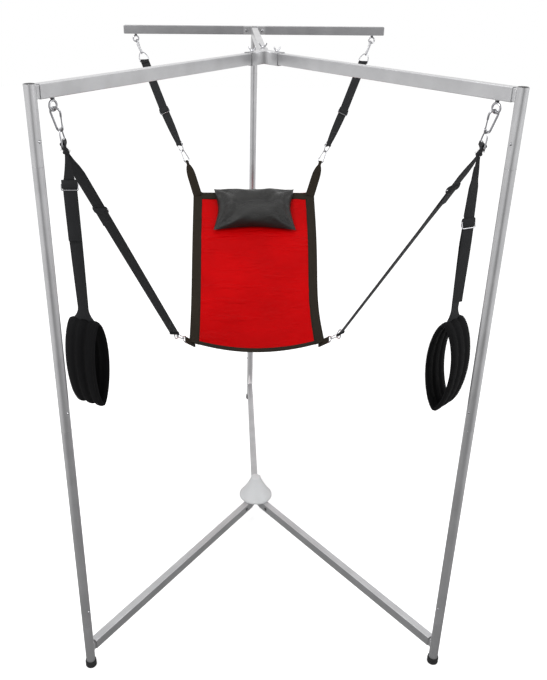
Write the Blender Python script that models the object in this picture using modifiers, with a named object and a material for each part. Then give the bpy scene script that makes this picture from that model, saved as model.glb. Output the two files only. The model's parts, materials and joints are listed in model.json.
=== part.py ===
"""Tripod sling stand: three tubular legs, top and bottom rails, a rear crossbar and a hung sling.

Run it with: blender --background --python part.py
Lengths are metres, +Z is up and the camera side of the stand is -Y.
The model is laid out about the vertical hub axis and then moved so that the middle of its
footprint is the origin.
"""

import math

import bmesh
import bpy
from mathutils import Matrix, Vector

# Clearances
GAP = 0.0003
BUTTON_PLAY = 0.0005
BOLT_PLAY = 0.0003
SLIVER = 0.00006

# Stand: plan and heights
ARM_LENGTH = 1.12
FRONT_SPREAD = math.radians(36.0)
TOP_RAIL_HEIGHT = 2.118
BOTTOM_RAIL_HEIGHT = 0.0925
LEG_RISE = 0.022
LEG_TOP = TOP_RAIL_HEIGHT + LEG_RISE
LOW_SEAM = 0.21
MIDDLE_SEAM_DROP = 1.058
HIGH_SEAM_DROP = 0.198
SEAM_HEIGHTS = (LOW_SEAM, TOP_RAIL_HEIGHT - MIDDLE_SEAM_DROP, TOP_RAIL_HEIGHT - HIGH_SEAM_DROP)

# Legs
LEG_RADIUS = 0.017
LEG_WALL = 0.002
SPIGOT_WALL = 0.0017
SPIGOT_LENGTH = 0.10
SHOULDER = 0.004
LEG_END_HEIGHT = 0.006
LEG_PLUG = 0.005
TUBE_SIDES = 18
COVER_SIDES = 24
HOLE_SIDES = 10
SMALL_SIDES = 8

# Snap buttons at the leg joints
BUTTON_RISE = 0.070
BUTTON_RADIUS = 0.004
BUTTON_PROUD = 0.003
BUTTON_FLANGE_RADIUS = 0.0055
BUTTON_FLANGE = 0.0014
BUTTON_LEAF_LENGTH = 0.026
BUTTON_LEAF_WIDTH = 0.007
BUTTON_LEAF = 0.0008
BUTTON_SIDE = {"left": 1.0, "right": -1.0, "rear": 1.0}

# Rectangular tube of the rails and the crossbar
RAIL_HEIGHT = 0.040
RAIL_WIDTH = 0.030
RAIL_WALL = 0.0018
RAIL_CORNER = 0.0025
STUB_WALL = 0.002
BORE_CORNER = 0.0006
CUT_PAST = 0.01
STUB_LENGTH = 0.095
STUB_SHOW = 0.006

# Hubs
SLEEVE_LENGTH = 0.100
SLEEVE_WALL = 0.0028
HUB_RAIL_START = 0.031
WING_DISTANCE = 0.078
WING_SHANK_RADIUS = 0.003
WING_SHANK_LENGTH = 0.016
WING_BOSS_RADIUS = 0.0065
WING_BOSS_HEIGHT = 0.008
WING_SPAN = 0.034
WING_RISE = 0.018
WING_THICKNESS = 0.0022
LOW_POST_RADIUS = 0.019
LOW_STUB_REACH = 0.135
LOW_RAIL_START = 0.046
LOW_BOLT_DISTANCE = 0.096
LOW_BOLT_RADIUS = 0.003
LOW_BOLT_HEAD_RADIUS = 0.0055
LOW_BOLT_HEAD = 0.0035

# Conical cover over the bottom hub
COVER_RIM_RADIUS = 0.0775
COVER_TOP_RADIUS = 0.025
COVER_TOP = 0.222
COVER_WALL = 0.0025
COVER_SKIRT = 0.008

# Feet
FOOT_RADIUS = 0.0208
FOOT_HEIGHT = 0.029
FOOT_EDGE = 0.005

# Rear crossbar
CROSS_HALF_LENGTH = 0.655
CROSS_RISE = 0.005
CROSS_HEIGHT = TOP_RAIL_HEIGHT + CROSS_RISE
CROSS_SOCKET_HALF = 0.055
CROSS_WELD_SINK = 0.001
CROSS_Y = ARM_LENGTH + LEG_RADIUS - CROSS_WELD_SINK + RAIL_WIDTH / 2
CROSS_BOLT_DISTANCE = 0.040
CROSS_CAP = 0.004
CROSS_BOLT_RADIUS = 0.003
CROSS_BOLT_HEAD_RADIUS = 0.006
CROSS_BOLT_HEAD = 0.0035

# Eye bolts
EYE_FRONT_INSET = 0.075
EYE_FRONT_DISTANCE = ARM_LENGTH - EYE_FRONT_INSET
EYE_REAR_INSET = 0.058
EYE_REAR_X = CROSS_HALF_LENGTH - EYE_REAR_INSET
EYE_RADIUS = 0.0135
EYE_WIRE = 0.0035
EYE_SIDES = 12
EYE_DROP = 0.023
EYE_SHANK_RADIUS = 0.0035
EYE_SHANK_LENGTH = 0.012
EYE_COLLAR_RADIUS = 0.0065
EYE_COLLAR = 0.002

# Snap hooks
HOOK_LENGTH = 0.080
HOOK_WIDE_RADIUS = 0.0145
HOOK_NARROW_RADIUS = 0.0085
HOOK_WIRE = 0.0035
GATE_WIRE = 0.0025
GATE_LENGTH = 0.030
GATE_START = 0.30
GATE_SIDES = 8
GATE_END_TURNS = (65.0, 35.0)
LOW_HOOK_SCALE = 0.90
CORNER_HOOK_SCALE = 0.60

# Webbing
WEB_WIDTH = 0.042
WEB_THICKNESS = 0.0026
SLIDE_LENGTH = 0.026
SLIDE_THICKNESS = 0.010
SLIDE_WIRE = 0.0022
SLIDE_MARGIN = 0.0018
SLIDE_SECTIONS = ((-0.5, 0.45), (-0.2, 1.0), (0.25, 0.9), (0.5, 0.4))
SLIDE_FRAME_ABOVE = 0.62
SLIDE_FRAME_BELOW = 0.19
SLIDE_FRAME_LIFT = 0.0045
TAIL_GAP = 0.0012
RING_WIRE = 0.0025
RING_SEWN = 0.0035
RING_MARGIN = 0.002
RING_LENGTH = 0.046
LOW_RING_LENGTH = 0.044
TAB_RING_LENGTH = 0.025
END_RING_LENGTH = 0.028
LINK_SLACK = 0.0

# Sling: places in the stand's hub frame, right-hand side; the head straps and the seat are placed
# from a rear eye bolt and the front straps as shares of the arm length
REAR_EYE = Vector((EYE_REAR_X, CROSS_Y, TOP_RAIL_HEIGHT))
HEAD_SLIDE = REAR_EYE - Vector((0.139, 0.124, 0.369))
HEAD_END = REAR_EYE - Vector((0.215, 0.186, 0.528))
LOOP_TOP = REAR_EYE - Vector((0.263, 0.223, 0.622))
FORK_SHARES = Vector((0.600, -0.795, 0.0)) / 1.12
FORK_DROP = 0.183
FORK = FORK_SHARES * ARM_LENGTH + Vector((0.0, 0.0, TOP_RAIL_HEIGHT - FORK_DROP))
SEAT_INSET = 0.287
SEAT_HALF_WIDTH = EYE_REAR_X - SEAT_INSET
CORNER_RING = Vector((SEAT_HALF_WIDTH, CROSS_Y, TOP_RAIL_HEIGHT)) - Vector((-0.076, 1.075, 1.168))
SEAT_TOP = Vector((0.0, CROSS_Y, TOP_RAIL_HEIGHT)) - Vector((0.0, 0.273, 0.756))
SEAT_BOTTOM = Vector((0.0, CROSS_Y, TOP_RAIL_HEIGHT)) - Vector((0.0, 1.009, 1.250))
SEAT_THICKNESS = 0.007
SEAT_BORDER = 0.045
SEAT_BORDER_RAISE = 0.0018
SEAT_SAG = 0.060
SEAT_TONGUE = 0.022
SEAT_FOLD = 0.0045
TAB_REACH = 0.027
TAB_SEWN = 0.033
TAB_WIDTH = 0.034
LOOP_NARROW = 0.011
LOOP_BEND = 0.0090
LOOP_WEB = 0.0024

# Pillow
PILLOW_WIDTH = 0.410
PILLOW_HEIGHT = 0.250
PILLOW_THICKNESS = 0.085
PILLOW_DRAW = 0.020

# Leg loops
STIRRUP_TOP_Z = TOP_RAIL_HEIGHT - 0.708
STIRRUP_HALF_HEIGHT = 0.1525
STIRRUP_HALF_WIDTH = 0.044
STIRRUP_PAD = 0.015
STIRRUP_BAND = 0.115
STIRRUP_CHANNEL = 0.0028
STIRRUP_CHANNELS = 3
STIRRUP_SHARES = Vector((0.590, -0.800, 0.0)) / 1.12
STIRRUP_PLACE = STIRRUP_SHARES * ARM_LENGTH
STIRRUP_TURN = {"left": math.radians(-64.0), "right": math.radians(53.0)}
STIRRUP_TURNS = {
    "left": ((0.0, -90.0), (0.14, -88.0), (0.55, -80.0), (1.0, -64.0)),
    "right": ((0.0, 88.0), (0.14, 50.0), (0.55, 72.0), (1.0, 53.0)),
}
STIRRUP_STATIONS = 9
STIRRUP_SLIDE_Z = {"left": TOP_RAIL_HEIGHT - 0.276, "right": TOP_RAIL_HEIGHT - 0.388}
STIRRUP_TAIL_Z = {"left": TOP_RAIL_HEIGHT - 0.448, "right": TOP_RAIL_HEIGHT - 0.648}
STRAP_SLIDE_SHARE = {"left": 0.27, "right": 0.17}
FORK_RADIUS = 0.008
FORK_MARGIN = 0.0015
FORK_TURN = math.radians(82.0)
FRONT_STRAP_TURNS = (math.radians(88.0), math.radians(62.0))
HEAD_STRAP_TURNS = (math.radians(100.0), math.radians(15.0))
HOOK_PLANES = {"front": math.radians(78.0), "rear": math.radians(25.0)}
EYE_REAR_TURN = math.radians(10.0)
FORK_GAP = 0.0008

SIDES = {"left": -1.0, "right": 1.0}
UP = Vector((0.0, 0.0, 1.0))

# Derived places
ARM_ANGLES = {
    "left": -math.pi / 2 - FRONT_SPREAD,
    "right": -math.pi / 2 + FRONT_SPREAD,
    "rear": math.pi / 2,
}
FRONT_REACH = ARM_LENGTH * math.cos(FRONT_SPREAD) + FOOT_RADIUS
BACK_REACH = CROSS_Y + RAIL_WIDTH / 2 + GAP + CROSS_BOLT_HEAD
HUB_Y = (FRONT_REACH - BACK_REACH) / 2
HUB = Matrix.Translation((0.0, HUB_Y, 0.0))
LEG_BORE = LEG_RADIUS - LEG_WALL
SPIGOT_RADIUS = LEG_BORE - GAP
SPIGOT_BORE = SPIGOT_RADIUS - SPIGOT_WALL
RAIL_BORE_HEIGHT = RAIL_HEIGHT - 2 * RAIL_WALL
RAIL_BORE_WIDTH = RAIL_WIDTH - 2 * RAIL_WALL
STUB_HEIGHT = RAIL_BORE_HEIGHT - 2 * GAP
STUB_WIDTH = RAIL_BORE_WIDTH - 2 * GAP
SLEEVE_HEIGHT = RAIL_HEIGHT + 2 * (GAP + SLEEVE_WALL)
SLEEVE_WIDTH = RAIL_WIDTH + 2 * (GAP + SLEEVE_WALL)

PARTS = "Tripod sling stand"
CUTTERS = "Tripod sling stand cutters"


def clear_scene():
    """Remove every object and unused mesh of the open file."""
    for item in list(bpy.data.objects):
        bpy.data.objects.remove(item, do_unlink=True)
    for block in list(bpy.data.meshes):
        bpy.data.meshes.remove(block)


def make_collection(name):
    """Return a new collection linked to the scene."""
    group = bpy.data.collections.new(name)
    bpy.context.scene.collection.children.link(group)
    return group


def make_material(name, colour, roughness, metallic):
    """Return a Principled material."""
    material = bpy.data.materials.new(name)
    material.use_nodes = True
    shader = material.node_tree.nodes["Principled BSDF"]
    shader.inputs["Base Color"].default_value = (*colour, 1.0)
    shader.inputs["Roughness"].default_value = roughness
    shader.inputs["Metallic"].default_value = metallic
    return material


def make_materials():
    """Return the stand's and the sling's materials by name."""
    return {
        "steel": make_material("powder-coated steel", (0.42, 0.42, 0.43), 0.42, 0.55),
        "zinc": make_material("bright zinc", (0.62, 0.62, 0.63), 0.28, 1.0),
        "cover": make_material("pale plastic", (0.62, 0.63, 0.64), 0.5, 0.0),
        "rubber": make_material("foot rubber", (0.03, 0.03, 0.03), 0.8, 0.0),
        "webbing": make_material("webbing", (0.035, 0.035, 0.037), 0.85, 0.0),
        "seat": make_material("seat fabric", (0.55, 0.002, 0.004), 0.6, 0.0),
        "pillow": make_material("pillow cover", (0.02, 0.02, 0.02), 0.4, 0.0),
        "pad": make_material("pad fabric", (0.012, 0.012, 0.013), 0.9, 0.0),
    }


def add_part(name, mesh, material, matrix=None, parent=None):
    """Add a mesh as a named part with one material."""
    part = bpy.data.objects.new(name, mesh)
    mesh.materials.clear()
    mesh.materials.append(MATERIALS[material])
    bpy.data.collections[PARTS].objects.link(part)
    if parent is not None:
        part.parent = parent
    if matrix is not None:
        part.matrix_local = matrix
    return part


def add_cutter(name, mesh, matrix=None, parent=None):
    """Add a mesh as a hidden cutter."""
    cutter = bpy.data.objects.new(name, mesh)
    bpy.data.collections[CUTTERS].objects.link(cutter)
    cutter.hide_render = True
    cutter.display_type = "WIRE"
    if parent is not None:
        cutter.parent = parent
    if matrix is not None:
        cutter.matrix_local = matrix
    return cutter


def add_empty(name, matrix, parent=None):
    """Add an empty that carries an arm, a leg or a joint axis."""
    empty = bpy.data.objects.new(name, None)
    empty.empty_display_size = 0.05
    bpy.data.collections[PARTS].objects.link(empty)
    if parent is not None:
        empty.parent = parent
    empty.matrix_local = matrix
    return empty


def add_boolean(part, tool, operation="DIFFERENCE", solver="EXACT"):
    """Cut a part with a tool object, or join the tool to it."""
    modifier = part.modifiers.new(operation.lower(), "BOOLEAN")
    modifier.operation = operation
    modifier.solver = solver
    modifier.object = tool


def evaluated_mesh(item, weld=True):
    """Return the mesh that an object's modifiers or curve settings give, and remove the object."""
    bpy.context.view_layer.update()
    graph = bpy.context.evaluated_depsgraph_get()
    mesh = bpy.data.meshes.new_from_object(item.evaluated_get(graph))
    bpy.data.objects.remove(item, do_unlink=True)
    if weld:
        work = bmesh.new()
        work.from_mesh(mesh)
        bmesh.ops.remove_doubles(work, verts=work.verts, dist=0.00001)
        bmesh.ops.recalc_face_normals(work, faces=work.faces)
        work.to_mesh(mesh)
        work.free()
    return mesh


def temporary(data):
    """Link an object for data so that it can be evaluated."""
    item = bpy.data.objects.new("temporary", data)
    bpy.context.scene.collection.objects.link(item)
    return item


def turned(profile, sides=TUBE_SIDES):
    """Turn a closed profile of (radius, height) points about Z."""
    mesh = bpy.data.meshes.new("turned")
    on_axis = profile[0][0] == 0.0
    edges = [(i, i + 1) for i in range(len(profile) - 1)]
    if not on_axis:
        edges.append((len(profile) - 1, 0))
    mesh.from_pydata([(r, 0.0, z) for r, z in profile], edges, [])
    item = temporary(mesh)
    screw = item.modifiers.new("turn", "SCREW")
    screw.axis = "Z"
    screw.angle = math.tau
    screw.steps = sides
    screw.render_steps = sides
    screw.use_merge_vertices = True
    screw.merge_threshold = 0.00001
    return smooth(evaluated_mesh(item))


def smooth(mesh):
    """Shade a round mesh smooth, with its corners sharp."""
    mesh.shade_smooth()
    mesh.set_sharp_from_angle(angle=math.radians(35.0))
    return mesh


def cylinder(radius, low, high, sides=TUBE_SIDES):
    """Return a solid cylinder about Z from low to high."""
    return turned([(0.0, high), (radius, high), (radius, low), (0.0, low)], sides)


def box(low, high):
    """Return a box between two corners."""
    work = bmesh.new()
    bmesh.ops.create_cube(work, size=1.0)
    size = Vector(high) - Vector(low)
    bmesh.ops.scale(work, vec=size, verts=work.verts)
    bmesh.ops.translate(work, vec=(Vector(high) + Vector(low)) / 2, verts=work.verts)
    mesh = bpy.data.meshes.new("box")
    work.to_mesh(mesh)
    work.free()
    return mesh


def loft(rings, closed=False):
    """Skin a run of rings of points, capped at both ends or closed on itself."""
    work = bmesh.new()
    rows = [[work.verts.new(point) for point in ring] for ring in rings]
    count = len(rows[0])
    pairs = list(zip(rows, rows[1:]))
    if closed:
        pairs.append((rows[-1], rows[0]))
    for first, second in pairs:
        for i in range(count):
            j = (i + 1) % count
            work.faces.new((first[i], first[j], second[j], second[i]))
    if not closed:
        work.faces.new(rows[0][::-1])
        work.faces.new(rows[-1])
    bmesh.ops.recalc_face_normals(work, faces=work.faces)
    mesh = bpy.data.meshes.new("loft")
    work.to_mesh(mesh)
    work.free()
    return mesh


def rounded_rectangle(width, height, radius, segments=2):
    """Return the points of a rounded rectangle about the origin."""
    points = []
    corners = ((1, 1, 0.0), (-1, 1, 90.0), (-1, -1, 180.0), (1, -1, 270.0))
    for sx, sy, start in corners:
        cx = sx * (width / 2 - radius)
        cy = sy * (height / 2 - radius)
        for i in range(segments + 1):
            angle = math.radians(start + 90.0 * i / segments)
            points.append((cx + radius * math.cos(angle), cy + radius * math.sin(angle)))
    return points


def section_ring(x, width, height, radius=RAIL_CORNER, segments=2):
    """Return a rounded rectangle standing across the X axis at x."""
    return [Vector((x, y, z)) for y, z in rounded_rectangle(width, height, radius, segments)]


def hollow_bar(outer, inner):
    """Return a stepped hollow bar along X: outer sections out and inner sections back."""
    rings = [section_ring(*item) for item in outer]
    rings += [section_ring(*item) for item in reversed(inner)]
    return loft(rings, closed=True)


def solid_bar(x_low, x_high, width, height, radius=RAIL_CORNER, segments=2):
    """Return a solid rounded bar along X."""
    ends = (x_low, x_high)
    return loft([section_ring(x, width, height, radius, segments) for x in ends])


def wire_mesh(points, radius, cyclic=False, resolution=1):
    """Return a round wire along points."""
    curve = bpy.data.curves.new("wire", "CURVE")
    curve.dimensions = "3D"
    curve.bevel_depth = radius
    curve.bevel_resolution = resolution
    curve.use_fill_caps = not cyclic
    spline = curve.splines.new("POLY")
    spline.points.add(len(points) - 1)
    for target, point in zip(spline.points, points):
        target.co = (*point, 1.0)
    spline.use_cyclic_u = cyclic
    return smooth(evaluated_mesh(temporary(curve)))


def plate_mesh(outline, thickness):
    """Return a flat plate in the XY plane with the outline's shape."""
    curve = bpy.data.curves.new("plate", "CURVE")
    curve.dimensions = "2D"
    curve.fill_mode = "BOTH"
    curve.extrude = thickness / 2
    spline = curve.splines.new("POLY")
    spline.points.add(len(outline) - 1)
    for target, point in zip(spline.points, outline):
        target.co = (*point, 0.0, 1.0)
    spline.use_cyclic_u = True
    return evaluated_mesh(temporary(curve))


def joined(meshes):
    """Return the union of meshes, each given as (mesh, matrix)."""
    base_mesh, base_matrix = meshes[0]
    base_mesh.transform(base_matrix)
    base = temporary(base_mesh)
    tools = []
    for mesh, matrix in meshes[1:]:
        mesh.transform(matrix)
        tool = temporary(mesh)
        add_boolean(base, tool, "UNION", "MANIFOLD")
        tools.append(tool)
    result = evaluated_mesh(base, weld=False)
    for tool in tools:
        bpy.data.objects.remove(tool, do_unlink=True)
    work = bmesh.new()
    work.from_mesh(result)
    bmesh.ops.triangulate(work, faces=work.faces)
    bmesh.ops.dissolve_degenerate(work, dist=SLIVER, edges=work.edges)
    work.to_mesh(result)
    work.free()
    return result


def place(point, side=1.0):
    """Return a sling point on a side, in world coordinates."""
    return Vector((point.x * side, point.y + HUB_Y, point.z))


def frame_matrix(origin, z_axis, x_hint):
    """Return the matrix at origin with its Z along z_axis and its X near x_hint."""
    z = z_axis.normalized()
    x = (x_hint - z * x_hint.dot(z)).normalized()
    y = z.cross(x)
    matrix = Matrix((x, y, z)).transposed().to_4x4()
    matrix.translation = origin
    return matrix


def azimuth(angle):
    """Return the level direction at an angle turned from +Y towards +X."""
    return Vector((math.sin(angle), math.cos(angle), 0.0))


def ribbon(points, across, width=WEB_WIDTH, thickness=WEB_THICKNESS, widths=None):
    """Return a flat strap along points; across gives its width direction at each point."""
    rings = []
    for i, point in enumerate(points):
        before = points[max(i - 1, 0)]
        after = points[min(i + 1, len(points) - 1)]
        tangent = (after - before).normalized()
        side = (across[i] - tangent * across[i].dot(tangent)).normalized()
        normal = tangent.cross(side)
        half = (widths[i] if widths else width) / 2
        rim = half - thickness / 2
        corners = (
            (half, 0.0), (rim, thickness / 2), (-rim, thickness / 2),
            (-half, 0.0), (-rim, -thickness / 2), (rim, -thickness / 2),
        )
        rings.append([point + side * a + normal * b for a, b in corners])
    return loft(rings)


def spread(start, end, count):
    """Return count points evenly spaced from start to end."""
    return [start.lerp(end, i / (count - 1)) for i in range(count)]


def turn_between(first, second, count):
    """Return count level directions turning evenly between two azimuths."""
    return [azimuth(first + (second - first) * i / (count - 1)) for i in range(count)]


def oval_points(wide, narrow, length, count=16):
    """Return a pear-shaped loop in the XZ plane: wide arc at z = 0, narrow arc below it."""
    run = length - wide - narrow
    lean = math.asin((wide - narrow) / run)
    half = count // 2
    points = []
    for i in range(half + 1):
        angle = -lean + (math.pi + 2 * lean) * i / half
        points.append(Vector((wide * math.cos(angle), 0.0, -wide + wide * math.sin(angle))))
    for i in range(half + 1):
        angle = math.pi + lean + (math.pi - 2 * lean) * i / half
        points.append(Vector((narrow * math.cos(angle), 0.0, -wide - run + narrow * math.sin(angle))))
    return points


def hook_points(scale=1.0):
    """Return a snap hook's centreline, its wide bow's top at the origin and hanging along -Z."""
    length = (HOOK_LENGTH - 2 * HOOK_WIRE) * scale
    return oval_points(HOOK_WIDE_RADIUS * scale, HOOK_NARROW_RADIUS * scale, length)


def ring_points(width, length, count=8):
    """Return a D-shaped ring's centreline: its bow's top at the origin, its bar at -length."""
    half = width / 2
    points = []
    for i in range(count + 1):
        angle = math.pi * i / count
        points.append(Vector((half * math.cos(angle), 0.0, (length - RING_WIRE) * (math.sin(angle) - 1.0))))
    return points


def build_arms():
    """Return the empties of the hub, of each arm and of each leg."""
    hub = add_empty("hub_axis", HUB)
    arms = {}
    legs = {}
    for name, angle in ARM_ANGLES.items():
        arms[name] = add_empty(f"arm_{name}", Matrix.Rotation(angle, 4, "Z"), hub)
        legs[name] = add_empty(f"leg_axis_{name}", Matrix.Translation((ARM_LENGTH, 0.0, 0.0)), arms[name])
    return hub, arms, legs


def button_hole(name, leg, side, height):
    """Return the cutter of a snap button's hole through one side of a leg's walls."""
    hole = cylinder(BUTTON_RADIUS + BUTTON_PLAY, 0.0, 2 * LEG_RADIUS, HOLE_SIDES)
    matrix = button_matrix(side, height)
    return add_cutter(f"cut_{name}", hole, matrix, leg)


def button_matrix(side, height):
    """Return the matrix whose Z is a button's outward direction, at the leg's axis."""
    turn = Matrix.Rotation(-side * math.pi / 2, 4, "X")
    return Matrix.Translation((0.0, 0.0, height)) @ turn


def leg_tube_profile(low, high, spigot):
    """Return a leg section's closed profile, with its spigot above the seam at high."""
    if spigot:
        top = high + SPIGOT_LENGTH
        inner_step = high - SHOULDER
        return [
            (SPIGOT_BORE, top), (SPIGOT_RADIUS, top), (SPIGOT_RADIUS, high), (LEG_RADIUS, high),
            (LEG_RADIUS, low), (LEG_BORE, low), (LEG_BORE, inner_step - SHOULDER), (SPIGOT_BORE, inner_step),
        ]
    return [
        (LEG_BORE, high), (LEG_RADIUS, high), (LEG_RADIUS, low), (LEG_BORE, low),
    ]


def build_leg_tubes(name, leg, holes):
    """Build the lower and upper tubes of one leg."""
    seams = SEAM_HEIGHTS
    for part_name, low, high, cuts in (
        (f"leg_lower_{name}", seams[0] + GAP, seams[1], holes[:2]),
        (f"leg_upper_{name}", seams[1] + GAP, seams[2], holes[1:]),
    ):
        tube = add_part(part_name, turned(leg_tube_profile(low, high, True)), "steel", parent=leg)
        for cutter in cuts:
            add_boolean(tube, cutter)


def rail_stub(height):
    """Return the outer block of a rail's stub, from a leg's axis towards the hub."""
    block = solid_bar(-LEG_RADIUS - STUB_LENGTH, 0.0, STUB_WIDTH, STUB_HEIGHT, RAIL_CORNER - RAIL_WALL / 2)
    block.transform(Matrix.Translation((0.0, 0.0, height)))
    return block


def stub_bore(height):
    """Return the cutter block of a stub's hollow, open towards the hub."""
    reach = LEG_RADIUS + STUB_LENGTH + CUT_PAST
    width = STUB_WIDTH - 2 * STUB_WALL
    height_inside = STUB_HEIGHT - 2 * STUB_WALL
    bore = solid_bar(-reach, -LEG_RADIUS, width, height_inside, BORE_CORNER, 1)
    bore.transform(Matrix.Translation((0.0, 0.0, height)))
    return bore


def build_leg_head(name, leg, holes):
    """Build a leg's head: tube end, closed top, rail stub and, at the rear, the crossbar socket."""
    low = SEAM_HEIGHTS[2] + GAP
    blocks = [(cylinder(LEG_RADIUS, low, LEG_TOP), Matrix()), (rail_stub(TOP_RAIL_HEIGHT), Matrix())]
    if name == "rear":
        socket = solid_bar(-CROSS_SOCKET_HALF, CROSS_SOCKET_HALF, RAIL_WIDTH, RAIL_HEIGHT)
        reach = CROSS_Y - ARM_LENGTH
        turn = Matrix.Translation((reach, 0.0, CROSS_HEIGHT)) @ Matrix.Rotation(math.pi / 2, 4, "Z")
        blocks.append((socket, turn))
    head = add_part(f"leg_head_{name}", joined(blocks), "steel", parent=leg)
    bore = cylinder(LEG_BORE, low - CUT_PAST, LEG_TOP - LEG_PLUG)
    add_boolean(head, add_cutter(f"cut_head_bore_{name}", bore, parent=leg))
    add_boolean(head, add_cutter(f"cut_head_stub_{name}", stub_bore(TOP_RAIL_HEIGHT), parent=leg))
    add_boolean(head, holes[2])
    if name == "rear":
        reach = CROSS_SOCKET_HALF + CUT_PAST
        hollow = solid_bar(-reach, reach, RAIL_BORE_WIDTH, RAIL_BORE_HEIGHT)
        add_boolean(head, add_cutter("cut_cross_socket", hollow, turn, leg))
    else:
        add_boolean(head, eye_hole(f"head_{name}", leg, EYE_FRONT_DISTANCE - ARM_LENGTH))
    return head


def build_leg_base(name, leg, holes):
    """Build a leg's base: short tube with a spigot above and a bottom rail's stub."""
    top = SEAM_HEIGHTS[0]
    low = LEG_END_HEIGHT
    spigot_top = top + SPIGOT_LENGTH
    outer = turned([
        (0.0, spigot_top), (SPIGOT_RADIUS, spigot_top), (SPIGOT_RADIUS, top),
        (LEG_RADIUS, top), (LEG_RADIUS, low), (0.0, low),
    ])
    mesh = joined([(outer, Matrix()), (rail_stub(BOTTOM_RAIL_HEIGHT), Matrix())])
    base = add_part(f"leg_base_{name}", mesh, "steel", parent=leg)
    inner = turned([
        (0.0, spigot_top + CUT_PAST), (SPIGOT_BORE, spigot_top + CUT_PAST),
        (SPIGOT_BORE, top - SHOULDER), (LEG_BORE, top - 2 * SHOULDER),
        (LEG_BORE, low - CUT_PAST), (0.0, low - CUT_PAST),
    ])
    add_boolean(base, add_cutter(f"cut_base_bore_{name}", inner, parent=leg))
    add_boolean(base, add_cutter(f"cut_base_stub_{name}", stub_bore(BOTTOM_RAIL_HEIGHT), parent=leg))
    add_boolean(base, holes[0])
    return base


def build_foot(name, leg):
    """Build a leg's rubber foot: a cup with a flat sole and a rounded lower edge."""
    bore = LEG_RADIUS + GAP
    floor = LEG_END_HEIGHT - GAP
    arc = []
    for i in range(4):
        angle = math.radians(30.0 * i)
        radius = FOOT_RADIUS - FOOT_EDGE + FOOT_EDGE * math.cos(angle)
        arc.append((radius, FOOT_EDGE - FOOT_EDGE * math.sin(angle)))
    profile = [(0.0, floor), (bore, floor), (bore, FOOT_HEIGHT)]
    profile += [(FOOT_RADIUS - 0.0012, FOOT_HEIGHT), (FOOT_RADIUS, FOOT_HEIGHT - 0.0012)]
    profile += arc + [(0.0, 0.0)]
    return add_part(f"foot_{name}", turned(profile), "rubber", parent=leg)


def build_button(name, leg, side, height):
    """Build a snap button: domed pin, inner flange and the end of its leaf spring."""
    bore_flat = math.sqrt(SPIGOT_BORE ** 2 - BUTTON_FLANGE_RADIUS ** 2) - GAP
    top = LEG_RADIUS + BUTTON_PROUD
    dome = BUTTON_RADIUS * 0.4
    pin = turned([
        (0.0, top), (BUTTON_RADIUS * 0.6, top - dome * 0.25), (BUTTON_RADIUS, top - dome),
        (BUTTON_RADIUS, bore_flat), (BUTTON_FLANGE_RADIUS, bore_flat),
        (BUTTON_FLANGE_RADIUS, bore_flat - BUTTON_FLANGE), (0.0, bore_flat - BUTTON_FLANGE),
    ], SMALL_SIDES)
    across = BUTTON_LEAF_WIDTH / 2
    along = -side
    ends = sorted((0.0, along * BUTTON_LEAF_LENGTH))
    leaf_top = bore_flat - BUTTON_FLANGE + 0.0003
    leaf = box((-across, ends[0], leaf_top - BUTTON_LEAF), (across, ends[1], leaf_top))
    mesh = joined([(pin, Matrix()), (leaf, Matrix())])
    return add_part(name, mesh, "zinc", button_matrix(side, height), leg)


def eye_hole(name, parent, x):
    """Return the cutter of a front eye bolt's hole through the rail's and stub's lower walls."""
    low = TOP_RAIL_HEIGHT - RAIL_HEIGHT
    hole = cylinder(EYE_SHANK_RADIUS + BOLT_PLAY, low, TOP_RAIL_HEIGHT, HOLE_SIDES)
    return add_cutter(f"cut_eye_{name}", hole, Matrix.Translation((x, 0.0, 0.0)), parent)


def build_rails(name, arm):
    """Build one arm's top and bottom rails."""
    end = ARM_LENGTH - LEG_RADIUS - STUB_SHOW
    outer = [(HUB_RAIL_START, RAIL_WIDTH, RAIL_HEIGHT), (end, RAIL_WIDTH, RAIL_HEIGHT)]
    bore = RAIL_CORNER - RAIL_WALL / 2
    inner = [(x, RAIL_BORE_WIDTH, RAIL_BORE_HEIGHT, bore) for x in (HUB_RAIL_START, end)]
    level = Matrix.Translation((0.0, 0.0, TOP_RAIL_HEIGHT))
    top = add_part(f"top_rail_{name}", hollow_bar(outer, inner), "steel", level, arm)
    hole = cylinder(WING_SHANK_RADIUS + BOLT_PLAY, TOP_RAIL_HEIGHT, TOP_RAIL_HEIGHT + RAIL_HEIGHT, HOLE_SIDES)
    add_boolean(top, add_cutter(f"cut_wing_{name}", hole, Matrix.Translation((WING_DISTANCE, 0.0, 0.0)), arm))
    if name != "rear":
        add_boolean(top, eye_hole(f"rail_{name}", arm, EYE_FRONT_DISTANCE))
    build_bottom_rail(name, arm, end)


def bolt_across(radius, head_radius, head, half_width):
    """Return a bolt along Y with a round head at one end and a nut at the other."""
    length = half_width + GAP
    profile = [
        (0.0, length + head), (head_radius * 0.7, length + head), (head_radius, length + head * 0.5),
        (head_radius, length), (radius, length), (radius, -length), (head_radius, -length),
        (head_radius, -length - head), (0.0, -length - head),
    ]
    bolt = turned(profile, SMALL_SIDES)
    bolt.transform(Matrix.Rotation(math.pi / 2, 4, "X"))
    return bolt


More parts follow.
